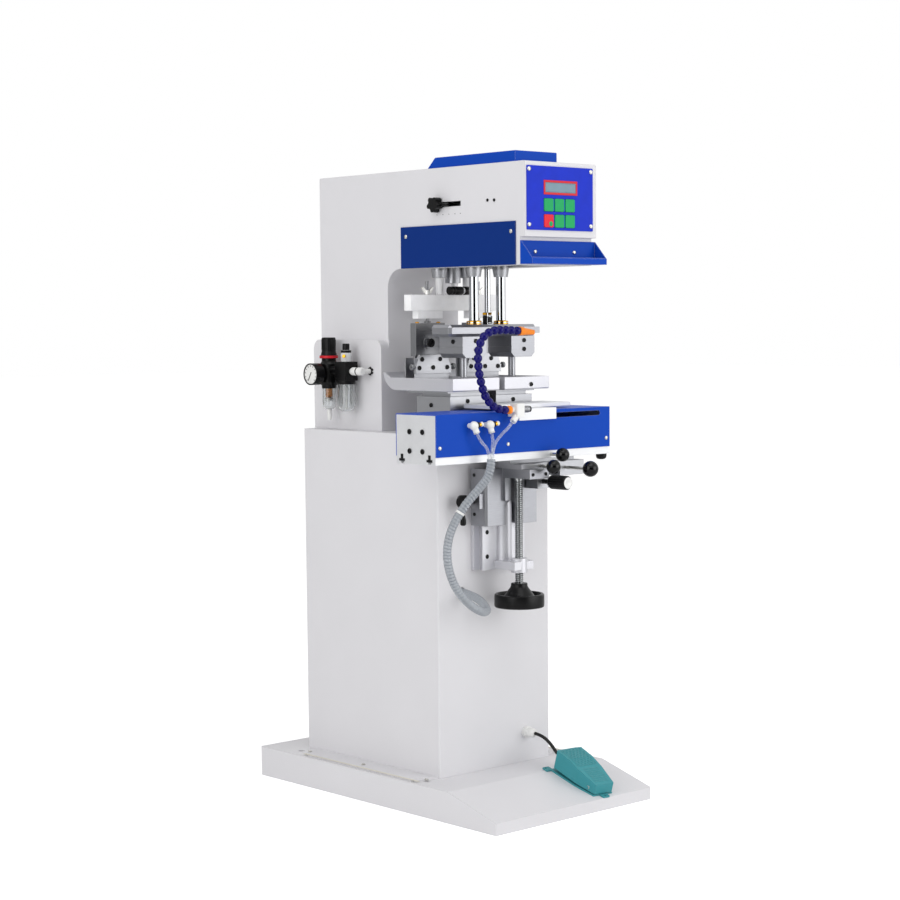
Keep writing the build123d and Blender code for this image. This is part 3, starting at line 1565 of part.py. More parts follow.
bed_front_y = bed_middle_y - bed_depth / 2
bed_rear_y = bed_middle_y + bed_depth / 2
sheet_front_y = bed_front_y + cover_sheet
sheet_rear_y = bed_rear_y - cover_sheet
bed_ball_z = bed_low_z + bed_floor_height / 3
with BuildPart() as ball_knob_bed:
    ball_knob(bed_ball_x, sheet_front_y, bed_ball_z, ball_radius / 2, bed_ball_stem)
write_piece(ball_knob_bed, "ball_knob_bed")

with BuildPart() as ball_knob_stage:
    ball_knob(stage_ball_x, stage_front_y, ball_axis_z, ball_radius / 2, stage_ball_stem)
write_piece(ball_knob_stage, "ball_knob_stage")

with BuildPart() as ball_knob_side:
    ball_knob(side_ball_x, stage_bar_front_y, side_ball_z, ball_radius / 2, side_ball_stem)
write_piece(ball_knob_side, "ball_knob_side")

# Shuttle bed: an extrusion with slotted legs, low side walls and a channel for the cross slide
with BuildPart() as shuttle_bed:
    inside_left_x = bed_left_x + end_plate_thickness
    inside_right_x = bed_right_x - end_plate_thickness
    bed_outline = [
        (sheet_front_y, bed_low_z),
        (rail_y[0] - moving_gap, bed_low_z),
        (rail_y[0] - moving_gap, channel_top),
        (rail_y[1] + moving_gap, channel_top),
        (rail_y[1] + moving_gap, bed_low_z),
        (sheet_rear_y, bed_low_z),
        (sheet_rear_y, bed_wall_top),
        (sheet_rear_y - bed_wall, bed_wall_top),
        (sheet_rear_y - bed_wall, bed_floor_top),
        (sheet_front_y + bed_wall, bed_floor_top),
        (sheet_front_y + bed_wall, bed_wall_top),
        (sheet_front_y, bed_wall_top),
    ]
    prism(Plane.YZ.offset(inside_left_x), bed_outline, inside_right_x - inside_left_x)
    for tee_y in (sheet_front_y + bed_leg_width / 2, sheet_rear_y - bed_leg_width / 2):
        tee_outline = [
            (tee_y - slot_mouth / 2, bed_low_z - cut_over),
            (tee_y - slot_mouth / 2, bed_low_z + slot_lip),
            (tee_y - slot_width / 2, bed_low_z + slot_lip),
            (tee_y - slot_width / 2, bed_low_z + slot_depth),
            (tee_y + slot_width / 2, bed_low_z + slot_depth),
            (tee_y + slot_width / 2, bed_low_z + slot_lip),
            (tee_y + slot_mouth / 2, bed_low_z + slot_lip),
            (tee_y + slot_mouth / 2, bed_low_z - cut_over),
        ]
        prism(
            Plane.YZ.offset(inside_left_x - cut_over),
            tee_outline,
            inside_right_x - inside_left_x + 2 * cut_over,
            Mode.SUBTRACT,
        )
    bed_hole = (bed_ball_x, sheet_front_y - cut_over, bed_ball_z)
    bar(bed_hole, (0, 1, 0), ball_radius + cut_over, stem_hole, Mode.SUBTRACT)
write_piece(shuttle_bed, "shuttle_bed")

with BuildPart() as shuttle_frame:
    plate_z = (bed_low_z, bed_top_z - cover_sheet)
    for plate_x in ((bed_left_x, inside_left_x), (inside_right_x, bed_right_x)):
        block(plate_x, (sheet_front_y, sheet_rear_y), plate_z)
    for rod_side in (-1, 1):
        rod_point = (inside_left_x, bed_middle_y + rod_side * table_rod_offset, table_rod_z)
        bar(rod_point, (1, 0, 0), inside_right_x - inside_left_x, table_rod_radius)
    for tee_y in (sheet_front_y + bed_leg_width / 2, sheet_rear_y - bed_leg_width / 2):
        slot_x = (bed_left_x - cut_over, bed_right_x + cut_over)
        block(
            slot_x,
            (tee_y - slot_mouth / 2, tee_y + slot_mouth / 2),
            (bed_low_z - cut_over, bed_low_z + slot_lip),
            mode=Mode.SUBTRACT,
        )
        block(
            slot_x,
            (tee_y - slot_width / 2, tee_y + slot_width / 2),
            (bed_low_z + slot_lip, bed_low_z + slot_depth),
            mode=Mode.SUBTRACT,
        )
write_piece(shuttle_frame, "shuttle_frame")

with BuildPart() as shuttle_cover:
    bed_x = (bed_left_x, bed_right_x)
    block(bed_x, (bed_front_y, bed_rear_y), (bed_cover_low_z, bed_top_z))
    outer_edges = shuttle_cover.edges().filter_by(Axis.X).group_by(Axis.Z)[-1]
    fillet(outer_edges, radius=cover_sheet * 0.6)
    block(
        (bed_left_x - cut_over, bed_right_x + cut_over),
        (sheet_front_y, sheet_rear_y),
        (bed_cover_low_z - cut_over, bed_top_z - cover_sheet),
        mode=Mode.SUBTRACT,
    )
    with BuildSketch(Plane.XZ.offset(-sheet_front_y)):
        slot_length = front_slot_right_x - front_slot_left_x
        with Locations(
            ((front_slot_left_x + front_slot_right_x) / 2, front_slot_low_z + front_slot_height / 2)
        ):
            SlotOverall(slot_length, front_slot_height)
    extrude(amount=cover_sheet + cut_over, both=True, mode=Mode.SUBTRACT)
write_piece(shuttle_cover, "shuttle_cover")

# Table carrier: runs on the bed's rods, reaches through the slot and folds back over the cover
with BuildPart() as table_carrier:
    slider_y = (bed_middle_y - slider_half_depth, bed_middle_y + slider_half_depth)
    arm_z = front_slot_low_z + (front_slot_height - slider_arm_height) / 2
    arm_high = arm_z + slider_arm_height
    block((-slider_half_width, slider_half_width), slider_y, (slider_low_z, arm_high))
    for rod_side in (-1, 1):
        bore_point = (
            -slider_half_width - cut_over, bed_middle_y + rod_side * table_rod_offset, table_rod_z
        )
        bar(
            bore_point,
            (1, 0, 0),
            2 * (slider_half_width + cut_over),
            table_rod_radius + running_gap,
            Mode.SUBTRACT,
        )
    apron_rear_y = bed_front_y - moving_gap
    apron_front_y = apron_rear_y - apron_thickness
    block((-slider_arm_half_width, slider_arm_half_width), (apron_rear_y, slider_y[0]), (arm_z, arm_high))
    block((-apron_half_width, apron_half_width), (apron_front_y, apron_rear_y), (apron_low_z, flange_top_z))
    flange_low_z = bed_top_z + moving_gap
    block((-apron_half_width, apron_half_width), (apron_rear_y, table_rear_y), (flange_low_z, flange_top_z))
write_piece(table_carrier, "table_carrier")

with BuildPart() as work_table:
    block(
        (table_left_x, table_right_x),
        (table_front_y, table_rear_y),
        (flange_top_z, flange_top_z + table_thickness),
    )
    chamfer(work_table.faces().sort_by(Axis.Z)[-1].edges(), length=edge_break)
    table_middle = (middle((table_left_x, table_right_x)), middle((table_front_y, table_rear_y)))
    with Locations((*table_middle, flange_top_z + table_thickness)):
        with GridLocations(2 * table_hole_half_x, 2 * table_hole_half_y, 2, 2):
            Hole(table_hole_radius, depth=table_thickness)
write_piece(work_table, "work_table")

# Air fittings on the front of the bed: two elbows and the flow valve of the blow-off hose
elbow_barrels = []
elbow_y = bed_front_y - elbow_reach
with BuildPart() as bed_fittings:
    for elbow_x, lean in ((elbow_first_x, 0.35), (elbow_second_x, 0.1)):
        ball_middle = Vector(elbow_x, elbow_y, elbow_z)
        barrel_direction = Vector(lean, -0.2, -1).normalized()
        bar((elbow_x, bed_front_y, elbow_z), (0, -1, 0), elbow_reach, elbow_stem_radius)
        with Locations(ball_middle):
            Sphere(elbow_ball_radius)
        bar(ball_middle, barrel_direction, elbow_barrel_length, elbow_barrel_radius)
        bar(ball_middle, (1, 0, 0.12), elbow_screw_length, elbow_screw_radius)
        elbow_barrels.append((ball_middle + barrel_direction * elbow_barrel_length, barrel_direction))
    block(
        (valve_left_x, valve_right_x), (valve_front_y, bed_front_y), (valve_low_z, bed_top_z - cover_sheet)
    )
    block(
        (valve_left_x, valve_right_x),
        (valve_front_y, bed_front_y - elbow_reach / 2),
        (valve_low_z, valve_low_z + valve_height),
    )
    valve_middle = (valve_left_x, hose_plane_y, hose_start_z)
    bar(valve_middle, (-1, 0, 0), valve_left_x - hose_start_x, segment_neck_radius)
    barrel_start = Vector(
        (valve_left_x + valve_right_x) / 2,
        hose_plane_y - elbow_barrel_radius / 2,
        valve_low_z + valve_barrel_radius,
    )
    valve_direction = Vector(-0.7, -0.05, -0.7).normalized()
    bar(barrel_start, valve_direction, elbow_barrel_length + valve_barrel_radius, valve_barrel_radius)
    elbow_barrels.append(
        (barrel_start + valve_direction * (elbow_barrel_length + valve_barrel_radius), valve_direction)
    )
    bar(
        (valve_right_x, hose_plane_y - elbow_barrel_radius / 2, hose_start_z),
        (1, 0, 0),
        elbow_screw_length,
        elbow_screw_radius * 1.6,
    )
write_piece(bed_fittings, "bed_fittings")

# Blow-off hose: ball-and-socket segments along its bent line, with a screwed base and a flat nozzle
hose_shape = [
    (0.4, 0), (0.76, 0.15), (0.92, 0.39), (1, 0.66), (0.9, 0.88), (0.61, 0.99), (0.18, 1), (-0.3, 0.98)
]
hose_line = [(hose_start_x - hose_base_length - moving_gap, hose_plane_y, hose_start_z)]
for reach_share, rise_share in hose_shape:
    hose_line.append(
        (hose_start_x - reach_share * hose_reach, hose_plane_y, hose_start_z + rise_share * hose_rise)
    )
with BuildPart() as blow_hose:
    with BuildLine() as hose_route:
        FilletPolyline(*hose_line, radius=corner_radii(hose_line))
    hose_path = hose_route.wire()
    segment_length = hose_path.length / segment_count
    segment_profile = [
        (0, -0.72 * segment_length),
        (segment_neck_radius, -0.72 * segment_length),
        (segment_neck_radius, -0.34 * segment_length),
        (segment_radius, -0.02 * segment_length),
        (segment_radius, 0.38 * segment_length),
        (segment_neck_radius * 1.25, 0.5 * segment_length),
        (0, 0.5 * segment_length),
    ]
    for index in range(segment_count):
        place = (index + 0.5) / segment_count
        turned(hose_path @ place, hose_path % place, segment_profile)
    base_profile = [
        (0, -hose_base_length),
        (segment_radius, -hose_base_length),
        (segment_radius, -hose_base_length / 5),
        (segment_radius * 0.85, 0),
        (0, 0),
    ]
    turned(hose_path @ 0, hose_path % 0, base_profile)
    hose_end = hose_path @ 1
    nozzle_direction = hose_path % 1
    socket_length = nozzle_length * 0.3
    socket_profile = [
        (0, -segment_neck_radius / 2),
        (segment_radius * 1.05, -segment_neck_radius / 2),
        (segment_radius * 1.05, socket_length * 0.7),
        (segment_radius * 0.9, socket_length),
        (0, socket_length),
    ]
    turned(hose_end, nozzle_direction, socket_profile)
    nozzle_plane = Plane(origin=hose_end, x_dir=(0, 1, 0), z_dir=nozzle_direction)
    with BuildSketch(nozzle_plane.offset(socket_length * 0.8)):
        Circle(segment_radius * 0.75)
    with BuildSketch(nozzle_plane.offset(nozzle_length)):
        Rectangle(nozzle_tip_width, nozzle_tip_height)
    loft()
write_piece(blow_hose, "blow_hose")

# Service unit: regulator and lubricator on one bracket, bowls, gauge, knob and shut-off valve
cheek_x = -half_head - cheek_width
with BuildPart() as air_regulator:
    body_profile = [
        (0, regulator_low_z),
        (regulator_radius * 0.9, regulator_low_z),
        (regulator_radius, regulator_low_z + ring_height),
        (regulator_radius, regulator_high_z - ring_height * 2),
        (regulator_radius * 0.8, regulator_high_z - ring_height),
        (regulator_radius * 0.8, regulator_high_z),
        (0, regulator_high_z),
    ]
    turned((service_x, regulator_y, 0), (0, 0, 1), body_profile)
    bar((service_x, regulator_y, regulator_high_z), (0, 0, 1), ring_height, ring_radius)
    port_end_y = regulator_y + regulator_radius + port_stub
    bar((service_x, lubricator_y, service_z), (0, 1, 0), port_end_y - lubricator_y, port_radius)
    lubricator_half = lubricator_width / 2
    lubricator_x = (service_x - lubricator_half, service_x + lubricator_half)
    block(
        lubricator_x,
        (lubricator_y - lubricator_half, lubricator_y + lubricator_half),
        (lubricator_low_z, lubricator_high_z),
    )
    neck_profile = [
        (0, lubricator_high_z),
        (lubricator_neck_radius, lubricator_high_z),
        (lubricator_neck_radius, lubricator_neck_top),
        (lubricator_cap_radius, lubricator_neck_top),
        (lubricator_cap_radius, lubricator_cap_top),
        (0, lubricator_cap_top),
    ]
    turned((service_x, lubricator_y, 0), (0, 0, 1), neck_profile)
    bracket_z = (service_z - bracket_plate_z_half, service_z + bracket_plate_z_half)
    block((service_x, cheek_x), (lubricator_y, regulator_y), bracket_z)
    bar(
        (service_x, port_end_y + cut_over, service_z),
        (0, -1, 0),
        port_thread_length + cut_over,
        port_thread_radius,
        Mode.SUBTRACT,
    )
write_piece(air_regulator, "air_regulator")

with BuildPart() as service_bowls:
    for bowl_y, bowl_radius, bowl_low, bowl_high, tip in (
        (regulator_y, filter_bowl_radius, filter_bowl_low_z, regulator_low_z, drain_length),
        (lubricator_y, oil_bowl_radius, oil_bowl_low_z, lubricator_low_z, drain_length / 4),
    ):
        bowl_profile = [
            (0, bowl_low),
            (bowl_radius * 0.6, bowl_low),
            (bowl_radius, bowl_low + bowl_radius * 0.5),
            (bowl_radius, bowl_high),
            (bowl_radius - bowl_wall, bowl_high),
            (bowl_radius - bowl_wall, bowl_low + bowl_radius * 0.5 + bowl_wall * 0.5),
            (bowl_radius * 0.6 - bowl_wall * 0.4, bowl_low + bowl_wall),
            (0, bowl_low + bowl_wall),
        ]
        turned((service_x, bowl_y, 0), (0, 0, 1), bowl_profile)
        bar((service_x, bowl_y, bowl_low), (0, 0, -1), tip, drain_radius)
write_piece(service_bowls, "service_bowls")

with BuildPart() as regulator_knob:
    knob_seat_z = regulator_high_z + ring_height + moving_gap
    knob_outline = [
        (0, knob_seat_z),
        (knob_radius * 1.15, knob_seat_z),
        (knob_radius, knob_seat_z + ring_height * 1.5),
        (knob_radius, knob_top_z - ring_height * 0.3),
        (knob_radius * 0.9, knob_top_z),
        (0, knob_top_z),
    ]
    turned((service_x, regulator_y, 0), (0, 0, 1), knob_outline)
write_piece(regulator_knob, "regulator_knob")

with BuildPart() as pressure_gauge:
    gauge_x = service_x - regulator_radius
    gauge_profile = [
        (0, 0),
        (gauge_stem_radius, 0),
        (gauge_stem_radius, gauge_stem_length),
        (gauge_radius * 0.8, gauge_stem_length),
        (gauge_radius, gauge_stem_length + gauge_rim * 2),
        (gauge_radius, gauge_stem_length + gauge_length),
        (gauge_radius - gauge_rim, gauge_stem_length + gauge_length),
        (gauge_radius - gauge_rim, gauge_stem_length + gauge_length - gauge_face_depth),
        (0, gauge_stem_length + gauge_length - gauge_face_depth),
    ]
    turned((gauge_x, regulator_y, service_z - ring_height), (-1, 0, 0), gauge_profile)
write_piece(pressure_gauge, "pressure_gauge")

with BuildPart() as shutoff_valve:
    shutoff_start = lubricator_y - lubricator_half
    shutoff_profile = [
        (0, 0),
        (shutoff_radius * 0.7, 0),
        (shutoff_radius, shutoff_length * 0.15),
        (shutoff_radius, shutoff_length * 0.4),
        (shutoff_radius * 0.8, shutoff_length * 0.5),
        (shutoff_radius, shutoff_length * 0.6),
        (shutoff_radius, shutoff_length * 0.95),
        (shutoff_radius * 0.7, shutoff_length),
        (0, shutoff_length),
    ]
    turned((service_x, shutoff_start, service_z), (0, -1, 0), shutoff_profile)
    elbow_place_y = shutoff_start - shutoff_length + shutoff_radius
    bar((service_x, elbow_place_y, service_z), (1, 0, 0), cheek_x - service_x, shutoff_elbow_radius)
    bar((cheek_x - grommet_length, elbow_place_y, service_z), (1, 0, 0), grommet_length, grommet_radius)
write_piece(shutoff_valve, "shutoff_valve")

# Foot pedal: base plate with switch box, and a ribbed treadle hinged near its low end
yaw = radians(pedal_yaw)
down_ramp = Vector(-sin(yaw) * cos(ramp_slope), -cos(yaw) * cos(ramp_slope), -sin(ramp_slope))
ramp_normal = Vector(0, -sin(ramp_slope), cos(ramp_slope))
down_ramp = (down_ramp - ramp_normal * down_ramp.dot(ramp_normal)).normalized()
pedal_rear_z = base_height - (ramp_break_y - pedal_rear_y) * tan(ramp_slope)
pedal_plane = Plane(origin=(pedal_x, pedal_rear_y, pedal_rear_z), x_dir=down_ramp, z_dir=ramp_normal)
pedal_side_plane = Plane(origin=pedal_plane.origin, x_dir=pedal_plane.x_dir, z_dir=-pedal_plane.y_dir)
hinge_x = pedal_length * pedal_hinge_share


def pedal_point(along, across, up):
    return pedal_plane.from_local_coords(Vector(along, across, up))


def treadle_wedge(shrink, skirt_drop):
    """The treadle's outline, tapered in plan and in height, shrunk all round by one wall."""
    rear_half = pedal_rear_width / 2 - shrink
    front_half = pedal_front_width / 2 - shrink
    rear_top = pedal_rear_height - shrink
    front_top = pedal_front_height - shrink
    corner = pedal_rear_width * 0.12
    with BuildPart() as wedge:
        with BuildSketch(pedal_plane):
            with BuildLine():
                Polyline(
                    (pedal_length - shrink, front_half),
                    (pedal_length - shrink, -front_half),
                    (pedal_length * 0.6, -rear_half * 0.96),
                    (corner, -rear_half),
                    (shrink, corner - rear_half),
                    (shrink, rear_half - corner),
                    (corner, rear_half),
                    (pedal_length * 0.6, rear_half * 0.96),
                    close=True,
                )
            make_face()
        extrude(amount=pedal_rear_height + pedal_rib)
        with BuildSketch(pedal_side_plane.offset(-pedal_rear_width)):
            with BuildLine():
                Polyline(
                    (0, pedal_skirt_rear - skirt_drop),
                    (0, rear_top * 0.93),
                    (corner, rear_top),
                    (pedal_length * 0.35, rear_top * 0.94),
                    (pedal_length, front_top),
                    (pedal_length, pedal_skirt_front - skirt_drop),
                    close=True,
                )
            make_face()
        extrude(amount=2 * pedal_rear_width, mode=Mode.INTERSECT)
    return wedge.part


def grip_ribs():
    """Straight ribs across the front of the treadle and crossing slanted ones on its rear half."""
    with BuildPart() as ribs:
        with BuildSketch(pedal_plane):
            with Locations((pedal_length * 0.77, 0)):
                with GridLocations(pedal_rib_pitch, 0, pedal_cross_ribs, 1):
                    Rectangle(pedal_rib_width, pedal_front_width * 0.8)
        extrude(amount=pedal_rear_height + pedal_rib)
        with BuildSketch(pedal_plane) as slanted:
            for turn in (-35, 35):
                with Locations(Location((pedal_length * 0.31, 0), turn)):
                    with GridLocations(0, pedal_rib_pitch * 1.3, 1, pedal_slant_ribs):
                        Rectangle(pedal_length, pedal_rib_width)
            with Locations((pedal_length * 0.31, 0)):
                RectangleRounded(
                    pedal_length * 0.46, pedal_rear_width * 0.8, pedal_rib_pitch, mode=Mode.INTERSECT
                )
        extrude(amount=pedal_rear_height + pedal_rib)
        add(treadle_wedge(-pedal_rib, 0), mode=Mode.INTERSECT)
    return ribs.part


with BuildPart() as pedal_treadle:
    add(treadle_wedge(0, 0))
    add(grip_ribs())
    add(treadle_wedge(pedal_shell, cut_over), mode=Mode.SUBTRACT)
    notch_half = pedal_boss_radius + pedal_notch_side
    notch_plane = Plane(
        origin=pedal_point(-cut_over, 0, 0), x_dir=pedal_plane.y_dir, z_dir=pedal_plane.x_dir
    )
    notch_top = pedal_boss_z + notch_half + hinge_x * sin(radians(pedal_travel))
    with BuildSketch(notch_plane):
        with Locations((0, notch_top / 2)):
            Rectangle(2 * notch_half, notch_top)
    extrude(amount=pedal_shell + 2 * cut_over, mode=Mode.SUBTRACT)
    pin_start = pedal_point(hinge_x, -pedal_rear_width, pedal_hinge_z)
    bar(pin_start, pedal_plane.y_dir, 2 * pedal_rear_width, pedal_pin_radius + running_gap, Mode.SUBTRACT)
write_piece(pedal_treadle, "pedal_treadle")

with BuildPart() as pedal_base:
    rear_half = pedal_rear_width / 2 + pedal_flange
    front_half = pedal_front_width / 2 + pedal_flange
    with BuildSketch(pedal_plane) as plate_outline:
        with BuildLine():
            Polyline(
                (0, -rear_half),
                (0, rear_half),
                (pedal_length * 0.6, rear_half * 0.96),
                (pedal_length, front_half),
                (pedal_length, -front_half),
                (pedal_length * 0.6, -rear_half * 0.96),
                close=True,
            )
        make_face()
        fillet(plate_outline.vertices().group_by(Axis.X)[0], radius=pedal_ear_slot)
        for ear_side in (-1, 1):
            with Locations((-pedal_ear_length * 0.2, ear_side * (rear_half + pedal_ear_width * 0.2))):
                RectangleRounded(pedal_ear_length, pedal_ear_width, pedal_ear_slot)
            with Locations((-pedal_ear_length * 0.4, ear_side * (rear_half + pedal_ear_width * 0.4))):
                Circle(pedal_ear_slot, mode=Mode.SUBTRACT)
        with Locations((pedal_length + pedal_ear_length * 0.3, 0)):
            RectangleRounded(pedal_ear_length, pedal_ear_width, pedal_ear_slot)
        with Locations((pedal_length + pedal_ear_length * 0.4, 0)):
            Circle(pedal_ear_slot, mode=Mode.SUBTRACT)
    extrude(amount=pedal_plate)
    box_rear = pedal_shell * 2
    box_middle = (box_rear + pedal_length - pedal_box_front) / 2
    with BuildSketch(pedal_plane.offset(pedal_plate)):
        with Locations((box_middle, 0)):
            Rectangle(pedal_length - pedal_box_front - box_rear, 2 * pedal_box_half_width)
    extrude(amount=pedal_box_height - pedal_plate)
    lug_thickness = pedal_shell
    for lug_side in (-1, 1):
        lug_y = lug_side * (pedal_front_width / 2 - pedal_shell * 3)
        lug_origin = pedal_point(hinge_x, lug_y - lug_thickness / 2, 0)
        with BuildSketch(Plane(origin=lug_origin, x_dir=pedal_plane.x_dir, z_dir=pedal_plane.y_dir)):
            with Locations((0, -pedal_hinge_z / 2)):
                Rectangle(4 * pedal_pin_radius, pedal_hinge_z)
            with Locations((0, -pedal_hinge_z)):
                Circle(2 * pedal_pin_radius)
        extrude(amount=lug_thickness)
    pin_half = pedal_rear_width * 0.45
    bar(pedal_point(hinge_x, -pin_half, pedal_hinge_z), pedal_plane.y_dir, 2 * pin_half, pedal_pin_radius)
    boss_end = pedal_point(-pedal_boss_reach, 0, pedal_boss_z)
    bar(boss_end, pedal_plane.x_dir, pedal_boss_reach + box_rear * 2, pedal_boss_radius)
    post_start = pedal_point(box_rear * 1.5, 0, pedal_plate)
    bar(post_start, pedal_plane.z_dir, pedal_boss_z - pedal_plate, pedal_boss_radius * 0.8)
write_piece(pedal_base, "pedal_base")

with BuildPart() as cable_gland:
    gland_profile = [
        (cable_radius, -pillar_wall),
        (gland_thread_radius, -pillar_wall),
        (gland_thread_radius, 0),
        (gland_flange, 0),
        (gland_flange, gland_length * 0.3),
        (gland_radius, gland_length * 0.35),
        (gland_radius, gland_length * 0.75),
        (gland_radius * 0.7, gland_length),
        (cable_radius, gland_length),
    ]
    turned((gland_x, pillar_front_y, gland_z), (0, -1, 0), gland_profile)
write_piece(cable_gland, "cable_gland")

# Cords: the pedal's cable, the wrapped hose bundle and the three clear tubes that leave it
cable_end = boss_end
with BuildPart() as pedal_cable:
    cable_points = [
        (gland_x, pillar_front_y - gland_length, gland_z),
        (88.5, -192, gland_z - 2),
        (94, -211, gland_z - 18),
        tuple(cable_end - pedal_plane.x_dir * 16),
        tuple(cable_end),
    ]
    lay_tube("pedal cable", cable_points, cable_radius)
write_piece(pedal_cable, "pedal_cable")

bundle_top = (-149, -292, pillar_top - 41)
with BuildPart() as hose_bundle:
    bundle_points = [
        (hose_exit_x, pillar_front_y + pillar_wall, hose_exit_z),
        (-92, -186, pillar_top - 327),
        (-101, -231, pillar_top - 349),
        (-137, -253, pillar_top - 350),
        (-177, -251, pillar_top - 327),
        (-209, -244, pillar_top - 287),
        (-224, -241, pillar_top - 233),
        (-221, -248, pillar_top - 183),
        (-200, -264, pillar_top - 135),
        (-170, -279, pillar_top - 99),
        (-149, -292, pillar_top - 69),
        bundle_top,
    ]
    lay_tube("hose bundle", bundle_points, bundle_radius)
write_piece(hose_bundle, "hose_bundle")

tube_ways = [
    [(-152.7, -290, pillar_top - 22), (-152.7, -290, bundle_top[2])],
    [(-145.3, -290, pillar_top - 22), (-145.3, -290, bundle_top[2])],
    [(-122, -288, pillar_top + 3), (-149, -296.2, pillar_top - 19), (-149, -296.2, bundle_top[2])],
]
with BuildPart() as air_tubes:
    for number, ((barrel_end, leaving), way) in enumerate(zip(elbow_barrels, tube_ways), start=1):
        tube_points = [tuple(barrel_end), tuple(barrel_end + leaving * elbow_barrel_length)] + way
        lay_tube(f"air tube {number}", tube_points, tube_radius)
write_piece(air_tubes, "air_tubes")
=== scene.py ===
import bpy
import bmesh
import math
from mathutils import Matrix, Vector


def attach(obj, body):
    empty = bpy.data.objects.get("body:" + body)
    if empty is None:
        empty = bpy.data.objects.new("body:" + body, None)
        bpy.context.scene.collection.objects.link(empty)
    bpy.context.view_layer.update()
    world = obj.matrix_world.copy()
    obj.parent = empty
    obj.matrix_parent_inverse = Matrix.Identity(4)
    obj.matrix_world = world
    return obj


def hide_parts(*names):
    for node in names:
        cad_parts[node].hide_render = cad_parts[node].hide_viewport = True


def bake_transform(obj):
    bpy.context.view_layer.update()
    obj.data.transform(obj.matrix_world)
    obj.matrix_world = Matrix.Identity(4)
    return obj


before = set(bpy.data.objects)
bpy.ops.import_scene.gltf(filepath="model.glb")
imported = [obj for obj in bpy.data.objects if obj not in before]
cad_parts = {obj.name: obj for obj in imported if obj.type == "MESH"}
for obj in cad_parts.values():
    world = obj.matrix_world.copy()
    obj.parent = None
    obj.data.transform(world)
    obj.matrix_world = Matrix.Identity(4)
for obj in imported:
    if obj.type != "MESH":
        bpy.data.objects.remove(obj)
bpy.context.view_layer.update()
print("frame loaded:", len(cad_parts), "nodes")


def selectNothing():
    bpy.ops.object.select_all(action="DESELECT")


def hexColour(text):
    # written as seen on screen, stored linear
    seen = [int(text[i:i + 2], 16) / 255 for i in (1, 3, 5)]
    return [c / 12.92 if c <= 0.04045 else ((c + 0.055) / 1.055) ** 2.4 for c in seen] + [1.0]


# ---- camera: the photograph's place, lens and small tilt
cameraPlace = {
    "position": (-2.8772, -3.1865, 0.9944),
    "azimuth": -42.14,
    "down": 4.83,
    "roll": -0.49,
    "lens": 81.6,
    "shiftY": 0.0467,
}


def makeCamera(place):
    az, down, roll = (math.radians(place[k]) for k in ("azimuth", "down", "roll"))
    back = Vector((math.sin(az) * math.cos(down), -math.cos(az) * math.cos(down), math.sin(down)))
    right = (-back).cross(Vector((0, 0, 1))).normalized()
    up = right.cross(-back)
    tiltedRight = right * math.cos(roll) + up * math.sin(roll)
    tiltedUp = up * math.cos(roll) - right * math.sin(roll)
    turn = Matrix((tiltedRight, tiltedUp, back)).transposed().to_4x4()
    data = bpy.data.cameras.new("photoCamera")
    data.lens = place["lens"]
    data.sensor_width = 36
    data.shift_y = place["shiftY"]
    data.clip_end = 60
    camera = bpy.data.objects.new("photoCamera", data)
    camera.matrix_world = Matrix.Translation(place["position"]) @ turn
    bpy.context.scene.collection.objects.link(camera)
    bpy.context.scene.camera = camera


makeCamera(cameraPlace)

# ---- node helpers
def link(source, target):
    source.id_data.links.new(source, target)


def addMath(tree, kind, first, second):
    node = tree.nodes.new("ShaderNodeMath")
    node.operation = kind
    for socket, value in zip(node.inputs, (first, second)):
        if isinstance(value, (int, float)):
            socket.default_value = value
        else:
            link(value, socket)
    return node.outputs[0]


def mixShaders(tree, share, first, second, surface):
    # the first shader where the share is 0, the second where it is 1
    mix = tree.nodes.new("ShaderNodeMixShader")
    for source, target in zip((share, first.outputs[0], second.outputs[0]), mix.inputs):
        link(source, target)
    link(mix.outputs[0], surface)


# ---- lights and background
lightPlan = {
    "frontRight": {"at": (1.5, -3.6, 1.25), "size": 3.2, "power": 60},
    "leftWindow": {"at": (-3.7, -0.6, 1.7), "size": 3.4, "power": 54},
    "topSoft": {"at": (-0.6, -1.2, 3.6), "size": 2.6, "power": 26},
    "ambient": 0.54,
    "middle": (0, -0.05, 0.7),
}


def makeLights(plan):
    for name in ("frontRight", "leftWindow", "topSoft"):
        data = bpy.data.lights.new(name, "AREA")
        data.shape = "DISK"
        data.size = plan[name]["size"]
        data.energy = plan[name]["power"]
        lamp = bpy.data.objects.new(name, data)
        place = Vector(plan[name]["at"])
        lamp.location = place
        lamp.rotation_euler = (Vector(plan["middle"]) - place).to_track_quat("-Z", "Y").to_euler()
        bpy.context.scene.collection.objects.link(lamp)
    world = bpy.data.worlds.new("studio")
    bpy.context.scene.world = world
    world.use_nodes = True
    tree = world.node_tree
    tree.nodes.clear()
    out = tree.nodes.new("ShaderNodeOutputWorld")
    rays = tree.nodes.new("ShaderNodeLightPath").outputs
    seen = addMath(tree, "MAXIMUM", rays["Is Camera Ray"], rays["Is Transmission Ray"])
    seenOrGlossy = addMath(tree, "MAXIMUM", seen, rays["Is Glossy Ray"])
    room = tree.nodes.new("ShaderNodeBackground")
    room.inputs["Color"].default_value = (1, 1, 1, 1)
    room.inputs["Strength"].default_value = plan["ambient"]
    white = tree.nodes.new("ShaderNodeBackground")
    white.inputs["Color"].default_value = (1, 1, 1, 1)
    white.inputs["Strength"].default_value = 1
    mixShaders(tree, seenOrGlossy, room, white, out.inputs["Surface"])


makeLights(lightPlan)
bpy.context.scene.view_settings.view_transform = "Standard"
print("camera and lights done")


